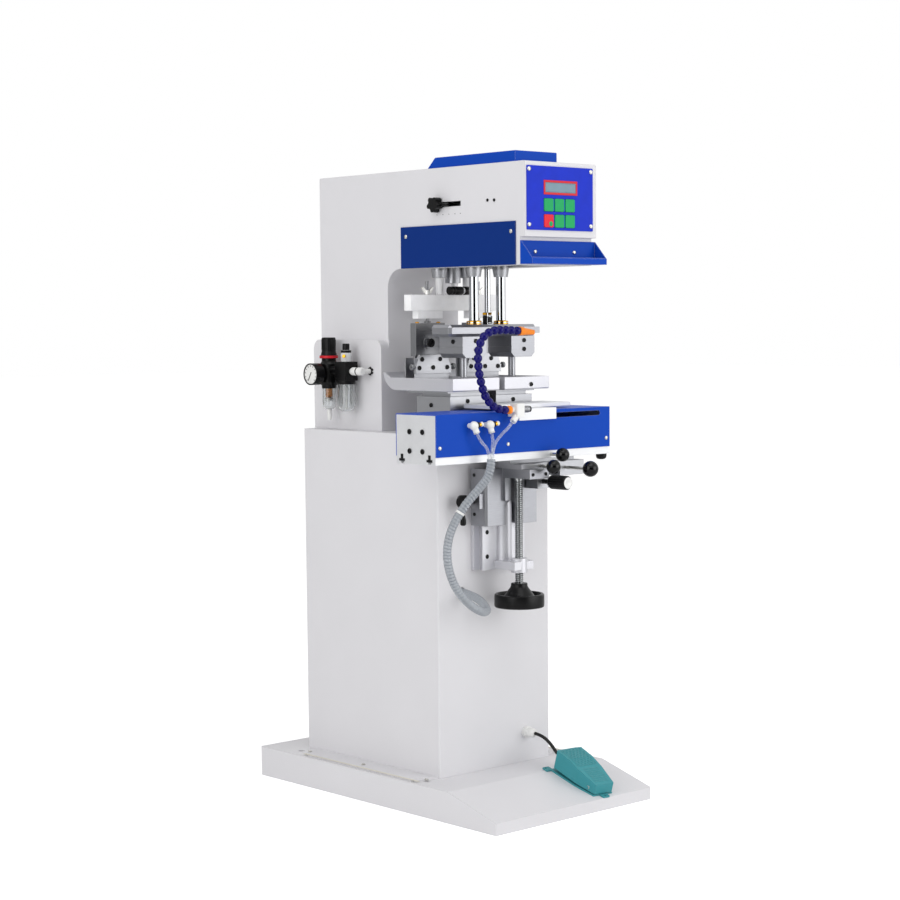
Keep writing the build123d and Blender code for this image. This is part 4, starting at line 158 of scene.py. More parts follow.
# ---- shader groups that several finishes share
def newGroup(name, inputs, outputs):
    tree = bpy.data.node_groups.new(name, "ShaderNodeTree")
    for label, kind, value in inputs:
        socket = tree.interface.new_socket(label, in_out="INPUT", socket_type=kind)
        socket.default_value = value
    for label, kind in outputs:
        tree.interface.new_socket(label, in_out="OUTPUT", socket_type=kind)
    return tree, tree.nodes.new("NodeGroupInput").outputs, tree.nodes.new("NodeGroupOutput").inputs


def addRange(tree, value, low, high):
    # 0..1 to low..high, either of them a socket or a number
    node = tree.nodes.new("ShaderNodeMapRange")
    link(value, node.inputs["Value"])
    for name, limit in (("To Min", low), ("To Max", high)):
        if isinstance(limit, (int, float)):
            node.inputs[name].default_value = limit
        else:
            link(limit, node.inputs[name])
    return node.outputs["Result"]


def addNoise(tree, scale, detail, stretch=(1, 1, 1)):
    coords = tree.nodes.new("ShaderNodeTexCoord").outputs["Object"]
    mapping = tree.nodes.new("ShaderNodeMapping")
    mapping.inputs["Scale"].default_value = stretch
    link(coords, mapping.inputs["Vector"])
    noise = tree.nodes.new("ShaderNodeTexNoise")
    noise.inputs["Detail"].default_value = detail
    if isinstance(scale, (int, float)):
        noise.inputs["Scale"].default_value = scale
    else:
        link(scale, noise.inputs["Scale"])
    link(mapping.outputs["Vector"], noise.inputs["Vector"])
    return noise.outputs["Fac"]


def addTint(tree, colour, amount):
    # the colour made lighter or darker by an amount round 1
    node = tree.nodes.new("ShaderNodeVectorMath")
    node.operation = "SCALE"
    link(colour, node.inputs[0])
    link(amount, node.inputs["Scale"])
    return node.outputs[0]


def makePaintSkin():
    # baked powder coat: fine orange peel, faint cloudiness, settled dust on top faces
    tree, given, result = newGroup(
        "paintSkin",
        [("Colour", "NodeSocketColor", (0.8, 0.8, 0.8, 1)), ("Roughness", "NodeSocketFloat", 0.4),
         ("Peel Size", "NodeSocketFloat", 700.0), ("Dust", "NodeSocketFloat", 0.06)],
        [("Colour", "NodeSocketColor"), ("Roughness", "NodeSocketFloat"), ("Height", "NodeSocketFloat")])
    peel = addNoise(tree, given["Peel Size"], 2)
    cloud = addNoise(tree, 7, 3)
    normal = tree.nodes.new("ShaderNodeNewGeometry").outputs["Normal"]
    split = tree.nodes.new("ShaderNodeSeparateXYZ")
    link(normal, split.inputs[0])
    up = addMath(tree, "MAXIMUM", split.outputs["Z"], 0.0)
    speck = addMath(tree, "GREATER_THAN", addNoise(tree, 260, 1), 0.62)
    dust = addMath(tree, "MULTIPLY", addMath(tree, "MULTIPLY", up, speck), given["Dust"])
    drift = addRange(tree, cloud, 0.965, 1.03)
    painted = addTint(tree, given["Colour"], drift)
    mix = tree.nodes.new("ShaderNodeMix")
    mix.data_type = "RGBA"
    mix.inputs["B"].default_value = (0.62, 0.6, 0.57, 1)
    link(dust, mix.inputs["Factor"])
    link(painted, mix.inputs["A"])
    link(mix.outputs["Result"], result["Colour"])
    rough = addMath(tree, "ADD", given["Roughness"], addRange(tree, cloud, -0.05, 0.07))
    link(addMath(tree, "ADD", rough, dust), result["Roughness"])
    link(peel, result["Height"])
    return tree


def makeCutterMarks():
    # milled or drawn metal: fine lines along one direction, with brighter and duller bands
    tree, given, result = newGroup(
        "cutterMarks",
        [("Colour", "NodeSocketColor", (0.7, 0.7, 0.7, 1)), ("Roughness", "NodeSocketFloat", 0.3),
         ("Fineness", "NodeSocketFloat", 60.0), ("Contrast", "NodeSocketFloat", 0.1)],
        [("Colour", "NodeSocketColor"), ("Roughness", "NodeSocketFloat"), ("Height", "NodeSocketFloat")])
    lines = addNoise(tree, given["Fineness"], 4, (0.6, 12, 12))
    patches = addNoise(tree, 18, 3)
    low = addMath(tree, "SUBTRACT", 1.0, given["Contrast"])
    high = addMath(tree, "ADD", 1.0, given["Contrast"])
    both = addMath(tree, "MULTIPLY", addRange(tree, lines, low, high), addRange(tree, patches, 0.95, 1.05))
    link(addTint(tree, given["Colour"], both), result["Colour"])
    link(addMath(tree, "ADD", given["Roughness"], addRange(tree, lines, -0.09, 0.11)), result["Roughness"])
    link(lines, result["Height"])
    return tree


def makeMouldedSkin():
    # moulded plastic or rubber: spark-eroded grain and light handling marks
    tree, given, result = newGroup(
        "mouldedSkin",
        [("Colour", "NodeSocketColor", (0.02, 0.02, 0.02, 1)), ("Roughness", "NodeSocketFloat", 0.4),
         ("Grain Size", "NodeSocketFloat", 1400.0)],
        [("Colour", "NodeSocketColor"), ("Roughness", "NodeSocketFloat"), ("Height", "NodeSocketFloat")])
    grain = addNoise(tree, given["Grain Size"], 2)
    hands = addNoise(tree, 45, 4)
    link(addTint(tree, given["Colour"], addRange(tree, hands, 0.88, 1.14)), result["Colour"])
    link(addMath(tree, "ADD", given["Roughness"], addRange(tree, hands, -0.08, 0.1)), result["Roughness"])
    link(grain, result["Height"])
    return tree


def makeRoundEdges():
    # rounds the look of sharp edges and gives a mask of them
    tree, given, result = newGroup(
        "roundEdges",
        [("Radius", "NodeSocketFloat", 0.0008)],
        [("Normal", "NodeSocketVector"), ("Edge", "NodeSocketFloat")])
    bevel = tree.nodes.new("ShaderNodeBevel")
    bevel.samples = 4
    link(given["Radius"], bevel.inputs["Radius"])
    dot = tree.nodes.new("ShaderNodeVectorMath")
    dot.operation = "DOT_PRODUCT"
    link(bevel.outputs["Normal"], dot.inputs[0])
    link(tree.nodes.new("ShaderNodeNewGeometry").outputs["Normal"], dot.inputs[1])
    link(bevel.outputs["Normal"], result["Normal"])
    bent = addMath(tree, "SUBTRACT", 1.0, dot.outputs["Value"])
    link(addMath(tree, "MINIMUM", addMath(tree, "MULTIPLY", bent, 6.0), 1.0), result["Edge"])
    return tree


groups = {
    "paint": makePaintSkin(),
    "metal": makeCutterMarks(),
    "moulded": makeMouldedSkin(),
    "edges": makeRoundEdges(),
}

# ---- finishes: lengths are in metres, and the last column holds what only some skins have
# the last column sets how far edges are lightened to pale cream: partly edge wear, partly a painted highlight along
# the edges
finishColumns = ("skin", "colour", "rough", "bump", "edge", "wornAndSheen")
finishRows = {
    "whitePaint": ("paint", "#DAD9DC", 0.44, 4e-05, 0.0016, 0.02, {"specular": 0.35}),
    "bluePaint": ("paint", "#1045B0", 0.38, 8e-05, 0.0009, 0.5, {"dust": 0.008, "specular": 0.07}),
    # a darker copy of bluePaint for the side covers: painted shade for their side turned away from the light
    "shadedBluePaint": ("paint", "#0A2F78", 0.38, 8e-05, 0.0009, 0.5, {"dust": 0.008, "specular": 0.07}),
    "panelFilm": ("moulded", "#2236BE", 0.42, 1e-05, 0.0006, 0.02, {"specular": 0.07}),
    "milled": ("metal", "#AFB0B4", 0.36, 4e-05, 0.0007, 0.3, {"metal": 1.0, "contrast": 0.14}),
    # a darker copy of milled, painted shade for the pad beam, pad holders and knee carriage
    "shadedMilled": ("metal", "#A0A1A6", 0.36, 4e-05, 0.0007, 0.3, {"metal": 1.0, "contrast": 0.14}),
    "brushed": ("metal", "#E0E1E3", 0.58, 4e-05, 0.0007, 0.3, {"metal": 0.7, "contrast": 0.1}),
    "castPlate": ("metal", "#D2D2D7", 0.42, 5e-05, 0.0012, 0.3, {"metal": 0.6, "contrast": 0.06}),
    "satinPlate": ("metal", "#8B8C8F", 0.3, 3e-05, 0.0006, 0.3, {"metal": 1.0, "contrast": 0.16}),
    "chrome": ("metal", "#BCBEC2", 0.07, 3e-06, 0.0003, 0.0, {"metal": 1.0, "contrast": 0.02}),
    "screwThread": ("metal", "#A5A7A8", 0.26, 2e-05, 0.0002, 0.1, {"metal": 1.0, "contrast": 0.12}),
    "zinc": ("metal", "#D2D1CB", 0.24, 2e-05, 0.0004, 0.1, {"metal": 1.0, "contrast": 0.08}),
    "nickel": ("metal", "#E8E7E3", 0.34, 2e-05, 0.0004, 0.1, {"metal": 0.6, "contrast": 0.05}),
    "blackOxide": ("metal", "#101012", 0.4, 2e-05, 0.0003, 0.1, {"metal": 0.3, "specular": 0.3, "contrast": 0.2}),
    "brass": ("metal", "#E3A62A", 0.2, 1e-05, 0.0004, 0.1, {"metal": 1.0, "contrast": 0.06}),
    "blackPlastic": ("moulded", "#0B0B0C", 0.32, 3e-05, 0.0008, 0.03, {"specular": 0.2}),
    "blackGloss": ("moulded", "#060608", 0.06, 5e-06, 0.0004, 0.0, {"specular": 0.28}),
    "whitePlastic": ("moulded", "#E4E4E2", 0.3, 1e-05, 0.0005, 0.0, {}),
    "hoseBlue": ("moulded", "#0D085F", 0.09, 5e-06, 0.0003, 0.0, {"specular": 0.2}),
    "orange": ("moulded", "#F98A18", 0.3, 1e-05, 0.0004, 0.0, {"specular": 0.3}),
    "teal": ("paint", "#3A8F97", 0.42, 6e-05, 0.0012, 0.05, {"specular": 0.25}),
    "cableRubber": ("moulded", "#0C0C0C", 0.5, 3e-05, 0.0004, 0.0, {"specular": 0.3}),
    "keyGreen": ("moulded", "#12A05A", 0.42, 1e-05, 0.0008, 0.0, {"specular": 0.2}),
    "keyRed": ("moulded", "#DA2433", 0.42, 1e-05, 0.0008, 0.0, {"specular": 0.2}),
    "signalRed": ("moulded", "#CC1F2C", 0.36, 1e-05, 0.0004, 0.0, {"specular": 0.25}),
    "displayGlass": ("moulded", "#6F8A99", 0.2, 5e-06, 0.0003, 0.0, {"specular": 0.25}),
    "copperFilter": ("moulded", "#D08C54", 0.5, 6e-05, 0.0004, 0.0, {}),
    "milkyWhite": ("moulded", "#F4F4F5", 0.32, 2e-05, 0.0009, 0.0, {}),
    "creamSeal": ("moulded", "#DAD6CA", 0.5, 4e-05, 0.0004, 0.0, {"specular": 0.3}),
}
finishes = {name: dict(zip(finishColumns, row), **row[-1]) for name, row in finishRows.items()}


def principled(name):
    material = bpy.data.materials.new(name)
    material.use_nodes = True
    return material, material.node_tree, material.node_tree.nodes["Principled BSDF"]


def placeGroup(tree, kind, values):
    node = tree.nodes.new("ShaderNodeGroup")
    node.node_tree = groups[kind]
    for label, value in values.items():
        node.inputs[label].default_value = value
    return node


def makeFinish(name, plan):
    material, tree, shader = principled(name)
    values = {"Colour": hexColour(plan["colour"]), "Roughness": plan["rough"]}
    if plan["skin"] == "metal":
        values["Contrast"] = plan["contrast"]
    if plan["skin"] == "paint":
        values["Dust"] = plan.get("dust", 0.03)
    skin = placeGroup(tree, plan["skin"], values)
    edges = placeGroup(tree, "edges", {"Radius": plan["edge"]})
    bump = tree.nodes.new("ShaderNodeBump")
    bump.inputs["Strength"].default_value = 0.6
    bump.inputs["Distance"].default_value = plan["bump"]
    link(skin.outputs["Height"], bump.inputs["Height"])
    link(edges.outputs["Normal"], bump.inputs["Normal"])
    link(bump.outputs["Normal"], shader.inputs["Normal"])
    # edges lightened towards pale cream by the edge mask: partly edge wear, partly a painted highlight along the
    # edges
    rubbedAndLitEdge = tree.nodes.new("ShaderNodeMix")
    rubbedAndLitEdge.data_type = "RGBA"
    rubbedAndLitEdge.inputs["B"].default_value = (0.8, 0.79, 0.74, 1)
    link(addMath(tree, "MULTIPLY", edges.outputs["Edge"], plan["wornAndSheen"]), rubbedAndLitEdge.inputs["Factor"])
    link(skin.outputs["Colour"], rubbedAndLitEdge.inputs["A"])
    link(rubbedAndLitEdge.outputs["Result"], shader.inputs["Base Color"])
    link(skin.outputs["Roughness"], shader.inputs["Roughness"])
    shader.inputs["Metallic"].default_value = plan.get("metal", 0.0)
    shader.inputs["Specular IOR Level"].default_value = plan.get("specular", 0.5)
    return material


materials = {name: makeFinish(name, plan) for name, plan in finishes.items()}


def makeClear(name, colour, rough, weight, ior):
    # clear mouldings and tubes: plain transmission, with handling haze in the roughness
    material, tree, shader = principled(name)
    skin = placeGroup(tree, "moulded", {"Colour": hexColour(colour), "Roughness": rough, "Grain Size": 500.0})
    link(skin.outputs["Colour"], shader.inputs["Base Color"])
    link(skin.outputs["Roughness"], shader.inputs["Roughness"])
    shader.inputs["Transmission Weight"].default_value = weight
    shader.inputs["IOR"].default_value = ior
    return material


materials["clearBowl"] = makeClear("clearBowl", "#F6F8F8", 0.08, 1.0, 1.45)
materials["clearTube"] = makeClear("clearTube", "#F0F2F3", 0.1, 0.85, 1.3)
materials["frosted"] = makeClear("frosted", "#EDEFF0", 0.22, 0.25, 1.35)
materials["spiralWrap"] = makeClear("spiralWrap", "#BCC1C7", 0.14, 0.4, 1.35)
# darker clear material for the groove between wrap turns: painted shade
materials["wrapGapShade"] = makeClear("wrapGapShade", "#838992", 0.3, 0.4, 1.3)
print("finishes done:", len(materials))

# ---- CAD nodes that stay, and the finish each one gets
nodeFinish = {
    "whitePaint": ["base_plinth", "pillar_cabinet", "pillar_rear_cover", "lower_housing", "head_frame"],
    "bluePaint": ["top_cover", "tool_tray", "shuttle_cover"],
    # side covers take the darker copy of the blue paint, painted shade
    "shadedBluePaint": ["side_covers"],
    "panelFilm": ["control_panel"],
    "milkyWhite": ["crossbar"],
    "keyGreen": ["panel_key_1", "panel_key_2", "panel_key_3", "panel_key_5", "panel_key_6"],
    "keyRed": ["panel_key_4"],
    "chrome": ["head_slide", "pad_shafts"],
    "milled": ["carriage_block", "pad_cylinder", "blade_holder_left", "blade_holder_right", "tray_support",
               "cross_slide"],
    # these parts take the darker copy of milled, painted shade
    "shadedMilled": ["pad_beam", "pad_holders", "knee_carriage"],
    "brushed": ["shuttle_bed", "shuttle_frame", "table_carrier", "work_table"],
    "castPlate": ["ink_trays", "knee_rail"],
    "satinPlate": ["blade_bracket_left", "blade_bracket_right"],
    "nickel": ["wing_nut_left", "wing_nut_right"],
    "blackPlastic": ["clamp_lever", "adjust_knob", "stop_knob", "air_regulator", "regulator_knob",
                     "pressure_gauge"],
    "blackGloss": ["ball_knob_bed", "ball_knob_stage", "ball_knob_side"],
    "whitePlastic": ["bed_fittings", "shutoff_valve", "cable_gland"],
    "teal": ["pedal_treadle", "pedal_base"],
}
for finish, nodeNames in nodeFinish.items():
    for nodeName in nodeNames:
        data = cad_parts[nodeName].data
        data.materials.clear()
        data.materials.append(materials[finish])
print("CAD finishes done")


# ---- cords: routes in metres, as the tubes of the frame follow them
def routeCurve(name, points, bevel):
    data = bpy.data.curves.new(name, "CURVE")
    data.dimensions = "3D"
    data.resolution_u = 12
    data.bevel_depth = bevel
    data.bevel_resolution = 4
    data.use_fill_caps = True
    spline = data.splines.new("NURBS")
    spline.points.add(len(points) - 1)
    for point, place in zip(spline.points, points):
        point.co = (*place, 1)
    spline.order_u = 3
    spline.use_endpoint_u = True
    curve = bpy.data.objects.new(name, data)
    bpy.context.scene.collection.objects.link(curve)
    return curve


def routePoints(curve):
    bpy.context.view_layer.update()
    plain = curve.copy()
    plain.data = curve.data.copy()
    plain.data.bevel_depth = 0
    bpy.context.scene.collection.objects.link(plain)
    bpy.context.view_layer.update()
    mesh = bpy.data.meshes.new_from_object(plain.evaluated_get(bpy.context.evaluated_depsgraph_get()))
    points = [vertex.co.copy() for vertex in mesh.vertices]
    bpy.data.objects.remove(plain)
    bpy.data.meshes.remove(mesh)
    return points


def lengthOf(points):
    return sum((b - a).length for a, b in zip(points, points[1:]))


pedalCablePlan = {
    "diameter": 0.007,
    "points": [(0.088, -0.170, 0.127), (0.0885, -0.192, 0.125), (0.094, -0.211, 0.109),
               (0.09847, -0.22556, 0.08904), (0.0974, -0.24093, 0.08471)],
}
pedalCable = routeCurve("pedalCable", pedalCablePlan["points"], pedalCablePlan["diameter"] / 2)
pedalCable.data.materials.append(materials["cableRubber"])
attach(pedalCable, "machine")
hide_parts("pedal_cable")
lengthOf(routePoints(pedalCable))

tubePlans = {
    "airTubeLeft": [(-0.17581, -0.28097, 0.77316), (-0.17061, -0.28394, 0.75832), (-0.1527, -0.290, 0.741), (-0.1527,
        -0.290, 0.722)],
    "airTubeMiddle": [(-0.13644, -0.28112, 0.77239), (-0.13488, -0.28425, 0.75677), (-0.1453, -0.290, 0.741),
        (-0.1453, -0.290, 0.722)],
    "airTubeValve": [(-0.08189, -0.28413, 0.79261), (-0.09319, -0.28494, 0.78131), (-0.122, -0.288, 0.766),
                     (-0.149, -0.2962, 0.744), (-0.149, -0.2962, 0.722)],
}
tubeDiameter = 0.006
for name, points in tubePlans.items():
    tube = routeCurve(name, points, tubeDiameter / 2)
    tube.data.materials.append(materials["clearTube"])
    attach(tube, "bed")
    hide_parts("air_tubes")
    lengthOf(routePoints(tube))

bundlePlan = {
    "diameter": 0.017,
    "points": [(-0.092, -0.1395, 0.441), (-0.092, -0.186, 0.436), (-0.101, -0.231, 0.414), (-0.137, -0.253, 0.413),
               (-0.177, -0.251, 0.436), (-0.209, -0.244, 0.476), (-0.224, -0.241, 0.530), (-0.221, -0.248, 0.580),
               (-0.200, -0.264, 0.628), (-0.170, -0.279, 0.664), (-0.149, -0.292, 0.694), (-0.149, -0.292, 0.722)],
    "wrapPitch": 0.0065,
    "groove": 0.0009,
    "gapShare": 0.25,
    "steps": 6,
    "sides": 20,
}


def framesAlong(points, spacing):
    # evenly spaced places on the route, each with its direction and two steady side directions
    total = lengthOf(points)
    count = max(2, round(total / spacing))
    places, walked, index = [], 0.0, 0
    for number in range(count + 1):
        target = total * number / count
        while index < len(points) - 2 and walked + (points[index + 1] - points[index]).length < target:
            walked += (points[index + 1] - points[index]).length
            index += 1
        run = points[index + 1] - points[index]
        places.append(points[index] + run * min(1.0, max(0.0, (target - walked) / run.length)))
    framed = []
    side = None
    for number, place in enumerate(places):
        ahead = (places[min(number + 1, count)] - places[max(number - 1, 0)]).normalized()
        if side is None:
            side = ahead.orthogonal().normalized()
        side = (side - ahead * side.dot(ahead)).normalized()
        framed.append((place, ahead, side, ahead.cross(side), total * number / count))
    return framed


def inGap(far, step, plan):
    return (far / plan["wrapPitch"] + step / plan["sides"]) % 1.0 < plan["gapShare"]


def wrappedTube(name, curve, plan):
    # a spiral wrap over tubes: the turns of the band stand out of a shallow groove between them, and the groove faces
    # take a darker second material, painted shade between the turns
    framed = framesAlong(routePoints(curve), plan["wrapPitch"] / plan["steps"])
    radius = plan["diameter"] / 2
    mesh = bpy.data.meshes.new(name)
    shape = bmesh.new()
    rings = []
    for place, ahead, side, other, far in framed:
        ring = []
        for step in range(plan["sides"]):
            angle = 2 * math.pi * step / plan["sides"]
            reach = radius - (plan["groove"] if inGap(far, step, plan) else 0.0)
            ring.append(shape.verts.new(place + (side * math.cos(angle) + other * math.sin(angle)) * reach))
        rings.append(ring)
    for (ring, after), (*rest, far) in zip(zip(rings, rings[1:]), framed):
        for step in range(plan["sides"]):
            following = (step + 1) % plan["sides"]
            wall = shape.faces.new((ring[step], ring[following], after[following], after[step]))
            # groove faces get the second material, the painted shade
            wall.material_index = int(inGap(far, step, plan))
    shape.faces.new(list(reversed(rings[0])))
    shape.faces.new(rings[-1])
    bmesh.ops.recalc_face_normals(shape, faces=shape.faces)
    shape.to_mesh(mesh)
    shape.free()
    for polygon in mesh.polygons:
        polygon.use_smooth = True
    tube = bpy.data.objects.new(name, mesh)
    bpy.context.scene.collection.objects.link(tube)
    return tube, framed


bundleRoute = routeCurve("bundleRoute", bundlePlan["points"], 0)
hoseBundle, bundleFrames = wrappedTube("hoseBundle", bundleRoute, bundlePlan)
bpy.data.objects.remove(bundleRoute)
hoseBundle.data.materials.append(materials["spiralWrap"])
hoseBundle.data.materials.append(materials["wrapGapShade"])
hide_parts("hose_bundle")
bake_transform(hoseBundle)
print("cords done")

# ---- modelling helpers
mm = 0.001


def spot(*place):
    return Vector(place) * mm


def turnedPiece(name, rings, sides=32, sharp=38):
    # a disc drawn out ring by ring: each ring is (radius, height) in mm, from the foot up
    selectNothing()
    radius, height = rings[0]
    bpy.ops.mesh.primitive_circle_add(vertices=sides, radius=radius * mm, fill_type="NGON", location=(0, 0,
        height * mm))
    piece = bpy.context.object
    piece.name = name
    bpy.ops.object.transform_apply(location=True, rotation=True, scale=True)
    bpy.ops.object.mode_set(mode="EDIT")
    bpy.ops.mesh.select_mode(type="FACE")
    bpy.ops.mesh.select_all(action="SELECT")
    for nextRadius, nextHeight in rings[1:]:
        bpy.ops.mesh.extrude_region_move(TRANSFORM_OT_translate={"value": (0, 0, (nextHeight - height) * mm)})
        growth = nextRadius / radius
        bpy.ops.transform.resize(value=(growth, growth, 1), center_override=(0, 0, nextHeight * mm))
        radius, height = nextRadius, nextHeight
    bpy.ops.mesh.select_all(action="SELECT")
    bpy.ops.mesh.normals_make_consistent(inside=False)
    bpy.ops.object.mode_set(mode="OBJECT")
    bpy.ops.object.shade_smooth_by_angle(angle=math.radians(sharp))
    return piece


def pickFaces(piece, test):
    # in edit mode: selects the faces whose middle and normal pass the test
    bpy.ops.mesh.select_mode(type="FACE")
    bpy.ops.mesh.select_all(action="DESELECT")
    shape = bmesh.from_edit_mesh(piece.data)
    for face in shape.faces:
        if test(face.calc_center_median(), face.normal):
            face.select_set(True)
    bmesh.update_edit_mesh(piece.data)


def boxPiece(name, low, high, edge=0.6, steps=2, front=None, rim=None, depth=0.0):
    # a block in mm with rounded edges; its face towards front may get a rim round a sunk middle
    selectNothing()
    middle = [(a + b) / 2 * mm for a, b in zip(low, high)]
    bpy.ops.mesh.primitive_cube_add(size=1, location=middle)
    piece = bpy.context.object
    piece.name = name
    piece.scale = [(b - a) * mm for a, b in zip(low, high)]
    bpy.ops.object.transform_apply(location=True, rotation=True, scale=True)
    bpy.ops.object.mode_set(mode="EDIT")
    bpy.ops.mesh.select_all(action="SELECT")
    bpy.ops.mesh.normals_make_consistent(inside=False)
    if front:
        pickFaces(piece, lambda centre, normal: normal.dot(Vector(front)) > 0.9)
        bpy.ops.mesh.inset(thickness=rim * mm)
        bpy.ops.mesh.extrude_region_move(TRANSFORM_OT_translate={"value": tuple(Vector(front) * -depth * mm)})
    bpy.ops.mesh.select_mode(type="EDGE")
    bpy.ops.mesh.select_all(action="SELECT")
    bpy.ops.mesh.bevel(offset=edge * mm, segments=steps, affect="EDGES")
    bpy.ops.object.mode_set(mode="OBJECT")
    bpy.ops.object.shade_smooth_by_angle(angle=math.radians(40))
    return piece


def standing(place, facing=(0, 0, 1), size=1.0, spin=0.0):
    # where a piece modelled upright at the origin goes, its own +Z turned to a direction
    turn = Vector(facing).normalized().to_track_quat("Z", "Y").to_matrix().to_4x4()
    return Matrix.Translation(place) @ turn @ Matrix.Rotation(spin, 4, "Z") @ Matrix.Diagonal((size, size, size, 1))


def laid(piece, matrix, body, finish, replaced=()):
    # writes the place into the mesh, then gives the finish, the body and the nodes it stands for
    piece.data.transform(matrix)
    piece.data.materials.clear()
    piece.data.materials.append(materials[finish])
    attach(piece, body)
    if replaced:
        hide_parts(*replaced)
    return piece


def turnedAt(name, sides, matrix, body, finish, rings, replaced=()):
    return laid(turnedPiece(name, rings, sides), matrix, body, finish, replaced)


def scattered(name, source, matrices, body, finish, replaced=()):
    # one modelled piece, copied with its own mesh to every place and joined
    selectNothing()
    copies = []
    for matrix in matrices:
        copied = source.copy()
        copied.data = source.data.copy()
        copied.data.transform(matrix)
        bpy.context.scene.collection.objects.link(copied)
        copies.append(copied)
    for copied in copies:
        copied.select_set(True)
    bpy.context.view_layer.objects.active = copies[0]
    if len(copies) > 1:
        bpy.ops.object.join()
    whole = bpy.context.view_layer.objects.active
    whole.name = name
    return laid(whole, Matrix.Identity(4), body, finish, replaced)


def boundsOf(nodeName):
    # low and high corner of a CAD node, in mm
    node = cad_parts[nodeName]
    corners = [node.matrix_world @ Vector(corner) for corner in node.bound_box]
    low = [min(corner[i] for corner in corners) / mm for i in range(3)]
    high = [max(corner[i] for corner in corners) / mm for i in range(3)]
    return low, high


# ---- fasteners: each kind modelled once, one millimetre in radius, then scattered
capScrew = turnedPiece("capScrew", [(0.94, 0.0), (1.0, 0.08), (1.0, 0.3), (0.9, 0.4), (0.56, 0.4), (0.5, 0.12)], 20)
panScrew = turnedPiece("panScrew", [(1.0, 0.0), (0.98, 0.18), (0.84, 0.4), (0.58, 0.54), (0.34, 0.58), (0.26, 0.38)],
    20)
flushScrew = turnedPiece("flushScrew", [(1.0, -0.1), (1.0, 0.006), (0.94, 0.014), (0.5, 0.014), (0.46, 0.006)], 20)
hexBolt = turnedPiece("hexBolt", [(1.35, 0.0), (1.35, 0.16), (1.0, 0.16), (1.0, 0.7), (0.86, 0.82)], 6)

# kind, finish, body, radius in mm, then each place and the way it faces
screwPlan = {
    "blackSupport": (capScrew, "blackOxide", "machine", 4.6, [
        ((-115.1, -79, 821), (-1, 0, 0)), ((115.1, -79, 821), (1, 0, 0)), ((-67.5, -137.1, 829), (0, -1, 0)),
        ((61, -137.1, 829), (0, -1, 0)), ((83, -168.1, 860), (0, -1, 0))]),
    "railScrews": (flushScrew, "blackOxide", "machine", 4.8, [
        ((x, -170, z), (0, -1, 0)) for x in (-46.7, 46.7) for z in (512, 562)]),
    "sideDots": (capScrew, "blackOxide", "machine", 3.2, [
        ((-99.1, -233.9, 1228.5), (-1, 0, 0)), ((-99.1, -253.1, 1227.8), (-1, 0, 0)),
        ((99.1, -233.9, 1228.5), (1, 0, 0)), ((99.1, -253.1, 1227.8), (1, 0, 0))]),
    "panelScrews": (panScrew, "zinc", "machine", 4.6, [
        ((x, -341, z), (0, -1, 0)) for x in (-89.5, 82) for z in (1177, 1284)]),
    "coverScrews": (panScrew, "zinc", "machine", 4.4, [
        ((side * 101, y, 1165), (side, 0, 0)) for side in (-1, 1) for y in (10.4, -301.6)]
        + [((x, -328, 1125), (0, -1, 0)) for x in (-61, 47.6)]),
    "rearScrews": (panScrew, "zinc", "machine", 4.2, [
        ((x, 291, z), (0, 1, 0)) for x in (-138, 0, 138) for z in (84, 414, 744)]),
    "bedScrews": (panScrew, "zinc", "bed", 4.2, [
        ((x, y, 747), (0, facing, 0)) for x, y, facing in (
            (-258, -264, -1), (-76, -264, -1), (206, -264, -1), (-258, -146, 1), (206, -146, 1))]),
    "endScrews": (capScrew, "blackOxide", "bed", 5.4, [
        ((x, y, z), (facing, 0, 0)) for x, facing in ((-268.1, -1), (217.1, 1)) for y in (-187,
            -225) for z in (739.6, 777.5)]),
    "gibScrews": (capScrew, "blackOxide", "knee", 3.6, [
        ((-73.1, -161, z), (-1, 0, 0)) for z in (600, 640, 680)]
        + [((x, -275.1, 683), (0, -1, 0)) for x in (-18, 18)]),
    "holderScrews": (capScrew, "blackOxide", "pad_unit", 4.6, [
        ((side * 68 + 3, -160.1, z), (0, -1, 0)) for side in (-1, 1) for z in (933, 951)]
        + [((-101.1, -131.6, 950), (-1, 0, 0)), ((101.1, -131.6, 950), (1, 0, 0))]),
    "tableScrews": (capScrew, "blackOxide", "table", 4.0, [
        ((x, -264.6, z), (0, -1, 0)) for x in (-40, 40) for z in (800,)]),
}
for side, sideName, dots in ((-1, "left", ((-103.3, 913.5), (-53.6, 913.5), (-111, 896), (-73.2, 896.5), (-34.3,
        896.4))),
                             (1, "right", ((41.5, 913), (91.4, 912.6), (33.6, 896.5), (73.8, 896.1), (111, 895.6)))):
    screwPlan["bladeScrews" + sideName] = (
        capScrew, "blackOxide", "blade_" + sideName, 4.8, [((x, -39.1, z), (0, -1, 0)) for x, z in dots])
    screwPlan["pivotScrew" + sideName] = (
        capScrew, "blackOxide", "blade_unit_" + sideName, 9.3, [((side * 71.5 - 6, -37.0, 947), (0, -1, 0))])
    screwPlan["brassScrews" + sideName] = (
        panScrew, "brass", "blade_unit_" + sideName, 4.4, [((side * 71.5 + shift, -21.5, 988),
            (0, 0, 1)) for shift in (-29, 29)])
for name, (kind, finish, body, size, seats) in screwPlan.items():
    scattered(name, kind, [standing(spot(*place), facing, size) for place, facing in seats], body, finish)
print("fasteners done:", len(screwPlan))

